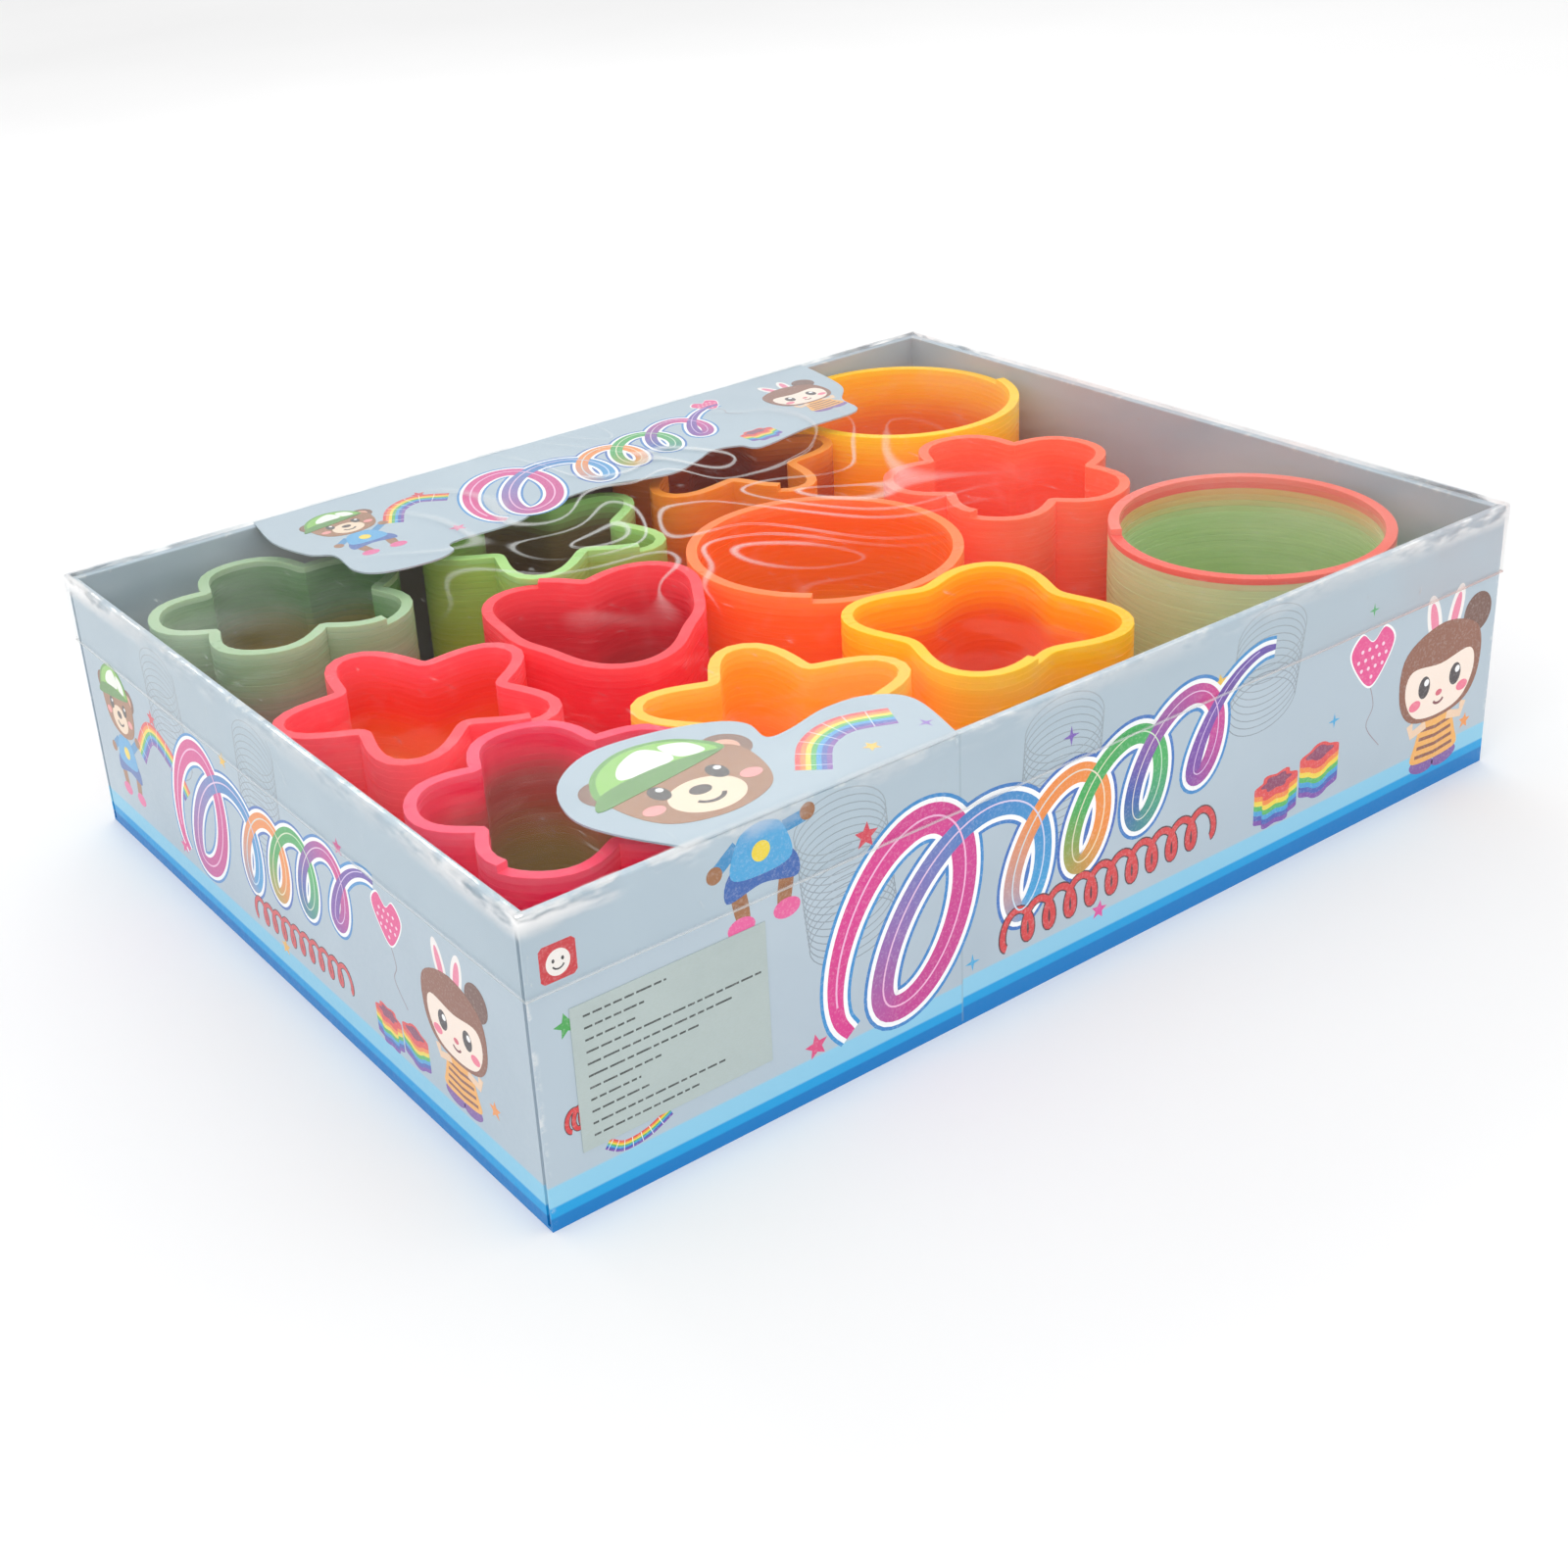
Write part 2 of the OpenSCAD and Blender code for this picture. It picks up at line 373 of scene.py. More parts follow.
@dataclass(frozen=True)
class PrintedCard(Finish):
    """Laminated silvery card with blue bands of ink along its foot."""

    name: str
    bands: bool = True
    lap: float | None = None

    PALE = ((0.0, "#a9b9c5"), (0.5, "#b7c6d1"), (1.0, "#c6d4dd"))
    # Each band's top in millimetres, and its colour
    FOOT = ((3.3, "#067cc4"), (5.9, "#18a2e0"), (11.0, "#92cfea"))
    SOFT_EDGE = 0.35
    # How far the bands step down past the glued lap, and how far in from an edge the ink is worn
    LAP_STEP = 1.2 * MM
    WORN_FROM, WORN_TO, WORN_RIM = 1.6 * MM, 0.1 * MM, 1.2 * MM
    LAP_SHADE, BARE_CARD = "#8fa3ae", "#f6f4ef"

    def shade(self, graph: Graph) -> Socket:
        """Build the nodes and give the shader's socket."""
        here = graph.place()
        x, y, z = graph.node("ShaderNodeSeparateXYZ", {0: here}).outputs
        colour = graph.ramp(graph.noise(here, 16.0, 3.0, 0.6), self.PALE)
        if self.bands:
            level = z
            if self.lap is not None:
                step = graph.span(x, self.lap, self.lap + 0.3 * MM)
                level = graph.minus(z, graph.times(step, self.LAP_STEP))
            for top, code in reversed(self.FOOT):
                edge = graph.span(level, (top - self.SOFT_EDGE) * MM, (top + self.SOFT_EDGE) * MM, (1.0, 0.0))
                colour = graph.blend(edge, colour, paint(code))
            if self.lap is not None:
                line = graph.minus(1.0, graph.span(graph.sum(
                    "ABSOLUTE", graph.minus(x, self.lap)), 0.1 * MM, 0.45 * MM))
                colour = graph.blend(graph.times(line, 0.35), colour, paint(self.LAP_SHADE))
            colour = self.worn(graph, here, (x, y, z), colour)
        fibre = graph.noise(here, 900.0, 3.0, 0.65)
        dent = graph.noise(graph.stretched(here, (1.0, 1.0, 1.6)), 22.0, 2.0)
        normal = graph.bump(dent, 0.0012, 0.22, graph.bump(fibre, 0.00004, 0.25))
        shader = graph.node("ShaderNodeBsdfPrincipled", {
            "Base Color": colour, "Roughness": graph.span(fibre, 0.3, 0.7, (0.34, 0.5)), "Normal": normal,
            "Coat Weight": 0.22, "Coat Roughness": 0.1, "Specular IOR Level": 0.25})
        return shader.outputs[0]

    def worn(self, graph: Graph, here: object, axes: Sequence[object], colour: object) -> Socket:
        """Rub the ink off along the box's upright corners and its rim.

        Args:
            graph: The tree to build in.
            here: The point's coordinates.
            axes: Their three numbers.
            colour: The colour of the sound print.

        Returns:
            The worn colour's socket.
        """
        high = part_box("tray_floor")[1]
        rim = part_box("front_wall")[1][2]
        across, along = (graph.span(graph.sum("ABSOLUTE", axis), edge - self.WORN_FROM, edge - self.WORN_TO)
                         for axis, edge in zip(axes, high[:2]))
        corner = graph.times(across, along)
        top = graph.span(axes[2], rim - self.WORN_RIM, rim)
        edge = graph.sum("MAXIMUM", corner, top)
        rub = graph.span(graph.noise(here, 260.0, 4.0, 0.7), 0.5, 0.66)
        return graph.blend(graph.times(graph.times(edge, rub), 0.45), colour, paint(self.BARE_CARD))


@dataclass(frozen=True)
class PrintInk(Finish):
    """Glossy ink in the colour that each shape carries."""

    name: str = "print_ink"

    def shade(self, graph: Graph) -> Socket:
        """Build the nodes and give the shader's socket."""
        here = graph.place()
        colour = graph.node("ShaderNodeAttribute", attribute_name="ink").outputs["Color"]
        screen = graph.noise(here, 1500.0, 2.0, 0.7)
        colour = graph.blend(graph.span(screen, 0.45, 0.8, (0.0, 0.16)), colour, paint("#ffffff"))
        pool = graph.noise(here, 60.0, 2.0)
        colour = graph.blend(graph.span(pool, 0.4, 0.8, (0.0, 0.14)), colour, paint("#20242c"), "SOFT_LIGHT")
        shader = graph.node("ShaderNodeBsdfPrincipled", {
            "Base Color": colour, "Roughness": graph.span(screen, 0.3, 0.7, (0.3, 0.42)),
            "Normal": graph.bump(screen, 0.00003, 0.2), "Coat Weight": 0.5, "Coat Roughness": 0.12})
        return shader.outputs[0]


@dataclass(frozen=True)
class LabelPaper(Finish):
    """Thin uncoated paper, a little greyed and creased."""

    name: str = "label_stock"

    PALE = ((0.0, "#a8b6b5"), (0.6, "#b6c3c1"), (1.0, "#c4cfca"))

    def shade(self, graph: Graph) -> Socket:
        """Build the nodes and give the shader's socket."""
        here = graph.place()
        colour = graph.ramp(graph.noise(here, 45.0, 4.0, 0.6), self.PALE)
        fibre = graph.noise(graph.stretched(here, (1.0, 1.0, 3.0)), 1100.0, 4.0, 0.7)
        colour = graph.blend(graph.span(fibre, 0.4, 0.75, (0.0, 0.22)), colour, paint("#a9b4a6"))
        crease = graph.noise(here, 70.0, 2.0, 0.5, 1.2)
        normal = graph.bump(crease, 0.0008, 0.25, graph.bump(fibre, 0.00005, 0.4))
        shader = graph.node("ShaderNodeBsdfPrincipled", {
            "Base Color": colour, "Roughness": graph.span(fibre, 0.3, 0.7, (0.6, 0.78)), "Normal": normal,
            "Sheen Weight": 0.12})
        return shader.outputs[0]


@dataclass(frozen=True)
class ClearFilm(Finish):
    """Thin clear film: creased, scratched, with painted reflections in places and bright at a glancing angle.
    """

    name: str = "clear_sheet"

    CLEAR = (0.985, 0.99, 0.99, 1.0)
    # White for scuffs and painted reflections, pink for the painted reflection of the coils on the right
    HAZE, PINK_HAZE = "#f4f6f4", "#f0b4a4"
    # How much the film shines at a glancing angle and face on
    GLANCING, FACE_ON = 0.09, 0.001
    # How strong the painted reflection lines are
    REFLECTION_LINE_SHARE = 0.3
    # How far in and down the folded edge glints, and how far from a corner it glints most
    FOLD_WIDTH, FOLD_DEPTH = 1.7 * MM, 7 * MM
    CORNER_LONG, CORNER_WIDE = 70 * MM, 60 * MM

    def shade(self, graph: Graph) -> Socket:
        """Build the nodes and give the shader's socket."""
        here = graph.place()
        ripple = graph.noise(graph.stretched(here, (1.0, 1.2, 1.0)), 17.0, 1.5, 0.5, 0.6)
        fine = graph.noise(here, 70.0, 2.0, 0.5, 0.4)
        normal = graph.bump(fine, 0.0006, 0.35, graph.bump(ripple, 0.004, 0.4))
        x, y, z = graph.node("ShaderNodeSeparateXYZ", {0: here}).outputs
        # Painted reflection: a pink veil on the right, where the coils' colour is reflected, and a white veil
        # at the back left, both clouded by noise
        pink_reflection_area = graph.span(x, 0.03, 0.15)
        back_left = graph.times(graph.span(x, -0.15, -0.06, (1.0, 0.0)), graph.span(y, -0.02, 0.08))
        reflection_area = graph.sum("MAXIMUM", graph.times(pink_reflection_area, 0.9), back_left)
        cloud = graph.span(graph.noise(here, 14.0, 3.0, 0.6), 0.35, 0.7, (0.005, 0.1))
        # Real scratches, plus painted reflection lines in a pool near the middle
        scratches_and_painted_lines = graph.plus(self.painted_reflection_lines(graph, here), self.scratches(graph, here))
        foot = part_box("lid_front_skirt")[0][2]
        # A painted highlight along the foot of the skirt
        scratches_and_painted_lines = graph.plus(scratches_and_painted_lines, graph.span(z, foot + 0.2 * MM, foot + 0.8 * MM, (0.3, 0.0)))
        scuff_and_reflection_share = graph.sum("MULTIPLY_ADD", cloud, reflection_area, scratches_and_painted_lines, clamp=True)
        facing = graph.node("ShaderNodeLayerWeight", {"Normal": normal}).outputs["Facing"]
        shine = graph.sum("MULTIPLY_ADD", graph.sum("POWER", facing, 5.0), self.GLANCING, self.FACE_ON)
        shine = graph.plus(shine, self.glints(graph, here, (x, y, z)), clamp=True)
        clear = graph.node("ShaderNodeBsdfTransparent", {"Color": self.CLEAR}).outputs[0]
        scuff_and_reflection_veil = graph.node("ShaderNodeBsdfPrincipled", {
            "Base Color": graph.blend(pink_reflection_area, paint(self.HAZE), paint(self.PINK_HAZE)), "Roughness": 0.3,
            "Normal": normal}).outputs[0]
        gloss = graph.node("ShaderNodeBsdfGlossy", {
            "Color": (1.0, 1.0, 1.0, 1.0), "Roughness": 0.05, "Normal": normal}).outputs[0]
        body = graph.node("ShaderNodeMixShader", {0: scuff_and_reflection_share, 1: clear, 2: scuff_and_reflection_veil}).outputs[0]
        return graph.node("ShaderNodeMixShader", {0: shine, 1: body, 2: gloss}).outputs[0]

    def painted_reflection_lines(self, graph: Graph, here: object) -> Socket:
        """Give painted reflection lines, standing for light bent by the pulled film, in a pool near the lid's
        middle.
        """
        bent = graph.noise(graph.stretched(here, (1.0, 0.75, 1.0)), 17.0, 0.0, 0.5, 0.9)
        folds = graph.sum("PINGPONG", graph.times(bent, 7.5), 0.5)
        thick = graph.span(graph.noise(here, 30.0, 1.0), 0.3, 0.7, (0.02, 0.2))
        line = graph.span(graph.sum("DIVIDE", folds, thick), 0.0, 1.0, (1.0, 0.0))
        pool = graph.span(graph.node("ShaderNodeVectorMath", {
            0: graph.node("ShaderNodeMapping", {
                "Vector": here, "Location": (0.0, -0.04, -0.38), "Scale": (0.8, 1.0, 5.0)}).outputs[0]},
            operation="LENGTH").outputs["Value"], 0.03, 0.085, (1.0, 0.0))
        return graph.times(graph.times(line, pool), self.REFLECTION_LINE_SHARE)

    def scratches(self, graph: Graph, here: object) -> Socket:
        """Give thin scuffs that run across the film."""
        grain = graph.noise(graph.stretched(here, (5.0, 0.8, 1.0)), 95.0, 3.0, 0.7, 1.5)
        return graph.span(grain, 0.67, 0.72, (0.0, 0.12))

    def glints(self, graph: Graph, here: object, axes: Sequence[object]) -> Socket:
        """Give the broken highlights along the folded edge, strongest by the corners.

        Args:
            graph: The tree to build in.
            here: The point's coordinates.
            axes: Their three numbers.

        Returns:
            The socket of how much more the film shines.
        """
        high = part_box("lid_film")[1]
        long, wide = graph.sum("ABSOLUTE", axes[0]), graph.sum("ABSOLUTE", axes[1])
        sides = [graph.span(reach, edge - self.FOLD_WIDTH, edge - 0.5 * MM)
                 for reach, edge in zip((long, wide), high)]
        top = graph.span(axes[2], high[2] - self.FOLD_DEPTH, high[2] - 0.5 * MM)
        fold = graph.times(graph.sum("MAXIMUM", *sides), top)
        near = graph.times(graph.span(long, high[0] - self.CORNER_LONG, high[0]),
                           graph.span(wide, high[1] - self.CORNER_WIDE, high[1]))
        break_up = graph.span(graph.noise(graph.stretched(here, (0.5, 0.5, 1.6)), 110.0, 3.0, 0.6), 0.4, 0.6)
        share = graph.sum("MULTIPLY_ADD", near, 0.8, 0.2)
        return graph.times(graph.times(fold, break_up), share)


@dataclass(frozen=True)
class StudioFloor(Finish):
    """Plain matt white floor."""

    name: str = "studio_floor"

    def shade(self, graph: Graph) -> Socket:
        """Build the nodes and give the shader's socket."""
        tone = graph.ramp(graph.noise(graph.place(), 3.0, 2.0), ((0.0, "#f4f4f4"), (1.0, "#fafafa")))
        return graph.node("ShaderNodeBsdfPrincipled", {"Base Color": tone, "Roughness": 0.85}).outputs[0]


# ---------------------------------------------------------------- coils


class Outline(Enum):
    """Shapes that a coil is wound to, as how much of each wave there is round it."""

    ROUND = {0: 1.0}
    STAR = {0: 0.79, 5: 0.19, 10: 0.02}
    FLOWER = {0: 0.885, 5: 0.14, 10: -0.025}
    CLOVER = {0: 0.84, 4: 0.15, 8: 0.01}
    HEART = {0: 0.83, 1: 0.02, 2: 0.02, 3: 0.13, 4: -0.04, 5: 0.05}


NARROWER = {Outline.ROUND: 0.0, Outline.STAR: 4 * MM, Outline.FLOWER: 3 * MM,
            Outline.CLOVER: 3 * MM, Outline.HEART: 5 * MM}


class HelixTree:
    """Geometry Nodes tree that winds a flat strip along a waved helix."""

    WAVES = (0, 1, 2, 3, 4, 5, 8, 10)
    NUMBERS = ("Turns", "Pitch", "Strip Width", "Strip Height", "Corner", "Diameter", "First Tip",
               "Near Side", "Drift", "Seed")
    INPUTS = tuple((name, "NodeSocketFloat") for name in NUMBERS) + (
        ("Centre", "NodeSocketVector"), ("Finish", "NodeSocketMaterial"))
    # Corners to a turn, how fast the turns drift sideways, and the bend that still shades smooth
    STEPS = 80
    WANDER = 0.9
    CREASE = math.radians(35)

    def __init__(self) -> None:
        """Build the tree."""
        self.tree = bpy.data.node_groups.new("wound_coil", "GeometryNodeTree")
        face = self.tree.interface
        for name, kind in self.INPUTS + tuple((f"Wave {k}", "NodeSocketFloat") for k in self.WAVES):
            face.new_socket(name=name, in_out="INPUT", socket_type=kind)
        face.new_socket(name="Mesh", in_out="OUTPUT", socket_type="NodeSocketGeometry")
        self.graph = Graph(self.tree)
        self.given = self.graph.node("NodeGroupInput").outputs
        self.graph.node("NodeGroupOutput", {0: self.strip(self.path())})

    def waves(self, angle: object, slope: bool) -> Socket:
        """Add up the outline's waves at an angle, or how fast their sum grows.

        Args:
            angle: The angle from the first tip.
            slope: Whether the growth is wanted.

        Returns:
            The sum's socket.
        """
        g, total = self.graph, 0.0
        for k in self.WAVES:
            turn = g.times(angle, float(k))
            wave = g.times(g.sum("SINE", turn), -float(k)) if slope else g.sum("COSINE", turn)
            total = g.plus(total, g.times(wave, self.given[f"Wave {k}"]))
        return g.times(total, g.times(self.given["Diameter"], 0.5))

    def path(self) -> Socket:
        """Give the strip's centre line as a curve that knows its run and its side."""
        g, given = self.graph, self.given
        count = g.sum("ROUND", g.times(given["Turns"], float(self.STEPS)))
        line = g.node("GeometryNodeResampleCurve", {
            "Curve": g.node("GeometryNodeCurvePrimitiveLine").outputs[0], "Count": count}).outputs[0]
        run = g.sum("DIVIDE", g.node("GeometryNodeInputIndex").outputs[0], g.minus(count, 1.0))
        turned = g.times(run, given["Turns"])
        angle = g.times(turned, math.tau)
        r, s = self.waves(angle, False), self.waves(angle, True)
        size = g.sum("SQRT", g.plus(g.times(r, r), g.times(s, s)))
        inset = g.sum("DIVIDE", g.times(given["Strip Width"], 0.5), size)
        out = g.minus(r, g.times(inset, r))
        beside = g.times(g.times(inset, s), -1.0)
        heading = g.plus(angle, given["First Tip"])
        c, d = g.sum("COSINE", heading), g.sum("SINE", heading)
        x = g.minus(g.times(out, c), g.times(beside, d))
        y = g.plus(g.times(out, d), g.times(beside, c))
        z = g.times(turned, given["Pitch"])
        spot = g.node("ShaderNodeVectorMath", {
            0: g.node("ShaderNodeCombineXYZ", {0: x, 1: y, 2: z}).outputs[0], 1: given["Centre"]},
            operation="ADD").outputs[0]
        wander = g.node("ShaderNodeTexNoise", {
            "W": g.plus(g.times(turned, self.WANDER), given["Seed"]), "Scale": 1.0, "Detail": 1.0},
            noise_dimensions="1D").outputs["Color"]
        level = g.node("ShaderNodeCombineXYZ", {0: given["Drift"], 1: given["Drift"], 2: 0.0}).outputs[0]
        shift = g.node("ShaderNodeVectorMath", {
            0: g.node("ShaderNodeVectorMath", {0: wander, 1: (0.5, 0.5, 0.5)},
                      operation="SUBTRACT").outputs[0],
            1: level}, operation="MULTIPLY").outputs[0]
        moved = g.node("GeometryNodeSetPosition", {
            "Geometry": line, "Position": g.node("ShaderNodeVectorMath", {0: spot, 1: shift},
                                                 operation="ADD").outputs[0]}).outputs[0]
        # Side runs from 0 on the near side to 1 on the far side, whose colours the coil's finish paints
        # partly in shade
        away = g.times(g.sum("COSINE", g.minus(heading, given["Near Side"])), -0.5)
        for name, value in (("run", run), ("side", g.plus(away, 0.5))):
            moved = g.node("GeometryNodeStoreNamedAttribute", {
                "Geometry": moved, "Name": name, "Value": value},
                data_type="FLOAT", domain="POINT").outputs[0]
        return g.node("GeometryNodeSetCurveNormal", {"Curve": moved}, mode="Z_UP").outputs[0]

    def strip(self, path: object) -> Socket:
        """Sweep the strip's section along the path.

        Args:
            path: The socket of the centre line.

        Returns:
            The socket of the finished mesh.
        """
        g, given = self.graph, self.given
        flat = g.node("GeometryNodeCurvePrimitiveQuadrilateral", {
            "Width": given["Strip Width"], "Height": given["Strip Height"]}).outputs[0]
        section = g.node("GeometryNodeFilletCurve", {
            "Curve": flat, "Count": 1, "Radius": given["Corner"]}, mode="POLY").outputs[0]
        mesh = g.node("GeometryNodeCurveToMesh", {
            "Curve": path, "Profile Curve": section, "Fill Caps": True}).outputs[0]
        whole = g.node("GeometryNodeRealizeInstances", {0: mesh}).outputs[0]
        return g.node("GeometryNodeSetMaterial", {"Geometry": whole, "Material": given["Finish"]}).outputs[0]

    def wind(self, name: str, values: dict[str, object]) -> bpy.types.Object:
        """Run the tree once and keep the result as a plain mesh.

        Args:
            name: The new piece's name.
            values: The tree's inputs, by name.

        Returns:
            The piece.
        """
        holder = put(f"{name}_source", bpy.data.meshes.new(f"{name}_source"))
        modifier = holder.modifiers.new("wind", "NODES")
        modifier.node_group = self.tree
        for item in self.tree.interface.items_tree:
            if item.in_out == "INPUT" and item.name in values:
                modifier[item.identifier] = values[item.name]
        ready = holder.evaluated_get(bpy.context.evaluated_depsgraph_get())
        mesh = bpy.data.meshes.new_from_object(ready)
        mesh.name = name
        mesh.shade_smooth()
        mesh.set_sharp_from_angle(angle=self.CREASE)
        holder.modifiers.remove(modifier)
        bpy.data.objects.remove(holder)
        return put(name, mesh)


@dataclass
class Coil:
    """One spring coil, wound from a single strip."""

    place: str
    outline: Outline
    first_tip: float
    # Colours up the near side, and up the far side, where they are partly painted shade
    near: Stops
    far_shaded: Stops
    round_width: float = 75 * MM
    strip_width: float = 3 * MM
    turn_height: float = 1.75 * MM
    strip_share: float = 0.998
    corner: float = 0.1 * MM
    drift: float = 0.2 * MM
    near_side: float = math.radians(-127)
    # The painted glow that stands in for light shining through the plastic
    painted_glow: float = 0.18
    still_share: float = 0.08

    def centre(self) -> Vector:
        """Give the middle of the coil's foot, from the hollow that the record gives it."""
        hollows = {o["name"]: o["box_m"] for o in frame["record"]["physics"]["openings"]}
        low, high = hollows[f"coil_{self.place}_hollow"]
        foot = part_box(f"coil_{self.place}_turns")[0][2]
        return Vector(((low[0] + high[0]) / 2, (low[1] + high[1]) / 2, foot))

    def build(self, tree: HelixTree) -> bpy.types.Object:
        """Wind the coil and hide the CAD turns and top that it stands for.

        Args:
            tree: The tree that winds it.

        Returns:
            The piece.
        """
        finish = CoilPlastic(f"tinted_{self.place}", self.near, self.far_shaded, self.painted_glow)
        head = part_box(f"coil_{self.place}_top")[1][2]
        centre = self.centre()
        rise = head - centre.z - self.turn_height
        values = {
            "Turns": rise / self.turn_height, "Pitch": self.turn_height, "Strip Width": self.strip_width,
            "Strip Height": self.turn_height * self.strip_share, "Corner": self.corner,
            "Diameter": self.round_width - NARROWER[self.outline], "First Tip": math.radians(self.first_tip),
            "Near Side": self.near_side, "Drift": self.drift, "Seed": float(sum(map(ord, self.place))),
            "Centre": centre + Vector((0, 0, self.turn_height / 2)), "Finish": finish.material()}
        values.update({f"Wave {k}": self.outline.value.get(k, 0.0) for k in HelixTree.WAVES})
        piece = tree.wind(f"coil_{self.place}", values)
        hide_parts(f"coil_{self.place}_turns", f"coil_{self.place}_top")
        self.open_upwards(piece)
        LOG.info("coil %s: %s, %d faces", self.place, self.outline.name.lower(), len(piece.data.polygons))
        return piece

    def open_upwards(self, piece: bpy.types.Object) -> None:
        """Bake the piece's place into its mesh and read each point's run up the coil.

        Args:
            piece: The wound coil.
        """
        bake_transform(piece)
        run = np.empty(len(piece.data.vertices), np.float32)
        piece.data.attributes["run"].data.foreach_get("value", run)


# Each coil gives its near colours, then its far side's colours, which on several coils are painted darker as
# shade inside the coil
COILS = (
    Coil("a1", Outline.FLOWER, 8,
         ((0.0, "#c01a3c"), (0.5, "#e22246"), (0.92, "#ee2c50"), (1.0, "#f4546e")),
         ((0.0, "#6c8a3a"), (0.5, "#84743e"), (0.8, "#a8504a"), (0.95, "#ee3454"), (1.0, "#f4546e"))),
    Coil("a2", Outline.STAR, 70,
         ((0.0, "#e8601a"), (0.5, "#f8881a"), (0.9, "#ffa226"), (1.0, "#ffbe4c")),
         ((0.0, "#e84a1a"), (0.5, "#f8801a"), (0.9, "#ffa62c"), (1.0, "#ffbe4c"))),
    Coil("a3", Outline.CLOVER, 43,
         ((0.0, "#e03a1c"), (0.22, "#ee661a"), (0.55, "#ff920c"), (0.9, "#ffa810"), (1.0, "#ffbe24")),
         ((0.0, "#c82a26"), (0.5, "#dc3c1a"), (0.78, "#ea561a"), (0.93, "#fb9a16"), (1.0, "#ffbe24"))),
    Coil("a4", Outline.ROUND, -60,
         ((0.0, "#96bc74"), (0.5, "#b0c88a"), (0.95, "#c8d09c"), (0.97, "#f06054"), (1.0, "#f6786a")),
         ((0.0, "#86a860"), (0.4, "#a2c074"), (0.85, "#aac886"), (0.95, "#dca868"), (0.97, "#f06054"),
          (1.0, "#f6786a")), painted_glow=0.12),
    Coil("b1", Outline.STAR, 93,
         ((0.0, "#f0701c"), (0.28, "#ea3c20"), (0.7, "#f02c38"), (1.0, "#fa505c")),
         ((0.0, "#e8b020"), (0.45, "#ec9a28"), (0.65, "#ea5a20"), (0.82, "#ea3628"), (1.0, "#fa505c"))),
    Coil("b2", Outline.HEART, 250,
         ((0.0, "#b01834"), (0.5, "#d41c2e"), (0.9, "#ea2838"), (1.0, "#f84650")),
         ((0.0, "#6a5a48"), (0.4, "#8c3a38"), (0.8, "#cc2434"), (1.0, "#f84650"))),
    Coil("b3", Outline.ROUND, 20,
         ((0.0, "#d83c18"), (0.5, "#e85018"), (0.9, "#fa6424"), (1.0, "#ff7c40")),
         ((0.0, "#a6a038"), (0.35, "#dea030"), (0.65, "#ee6a18"), (0.93, "#fc661e"), (1.0, "#ff7c40"))),
    Coil("b4", Outline.FLOWER, 6,
         ((0.0, "#d83828"), (0.5, "#ee5038"), (1.0, "#fc6c4c")),
         ((0.0, "#e0483a"), (0.4, "#ea3e22"), (0.8, "#f65232"), (1.0, "#fc6c4c"))),
    Coil("c1", Outline.FLOWER, 88,
         ((0.0, "#6c9e4c"), (0.3, "#a4a07c"), (0.7, "#a89888"), (0.93, "#98b68c"), (1.0, "#aac8a0")),
         ((0.0, "#d0a83c"), (0.5, "#bc8c34"), (0.68, "#8a7a38"), (0.84, "#4a7a38"), (0.96, "#56864a"),
          (1.0, "#aac8a0")), painted_glow=0.06),
    Coil("c2", Outline.STAR, 90,
         ((0.0, "#a09c26"), (0.5, "#acbc3c"), (0.95, "#a4c860"), (1.0, "#a8d884")),
         ((0.0, "#48282a"), (0.5, "#683c34"), (0.85, "#7c6444"), (1.0, "#a8d884")), painted_glow=0.07),
    Coil("c3", Outline.STAR, 60,
         ((0.0, "#b02a18"), (0.5, "#d8461a"), (1.0, "#f08a30")),
         ((0.0, "#541a18"), (0.5, "#842c1a"), (0.85, "#a8421c"), (1.0, "#f08a30")), painted_glow=0.08),
    Coil("c4", Outline.ROUND, 140,
         ((0.0, "#d43c18"), (0.4, "#e46418"), (0.8, "#ff9c14"), (1.0, "#ffc622")),
         ((0.0, "#bc2822"), (0.35, "#d4461c"), (0.7, "#ea6c1c"), (0.94, "#ffb01a"), (1.0, "#ffc622"))),
)


# ---------------------------------------------------------------- printed artwork


@dataclass(frozen=True)
class Panel:
    """A flat side to print on: its lower left corner, and which way is across and up."""

    corner: Vector
    across: Vector
    up: Vector

    def spot(self, x: float, y: float, height: float) -> Vector:
        """Give the place of a point of the artwork.

        Args:
            x: Millimetres across from the corner.
            y: Millimetres up from the corner.
            height: Metres out from the surface.

        Returns:
            The point in the model's frame.
        """
        return self.corner + self.across * x * MM + self.up * y * MM + self.across.cross(self.up) * height


def ring(x: float, y: float, rx: float, ry: float | None = None, turn: float = 0.0, start: float = 0.0,
         end: float = 360.0, count: int = 32) -> list[Point]:
    """Lay points along an ellipse, or an arc of one.

    Args:
        x: Its middle, across.
        y: Its middle, up.
        rx: Half its width.
        ry: Half its height, or the same as rx.
        turn: How far it is turned, in degrees.
        start: Where the arc starts, in degrees.
        end: Where the arc ends.
        count: How many points there are.

    Returns:
        The points.
    """
    ry = rx if ry is None else ry
    whole = abs(end - start) >= 360
    c, s = math.cos(math.radians(turn)), math.sin(math.radians(turn))
    points = []
    for i in range(count):
        a = math.radians(start + (end - start) * i / (count if whole else count - 1))
        u, v = rx * math.cos(a), ry * math.sin(a)
        points.append((x + u * c - v * s, y + u * s + v * c))
    return points


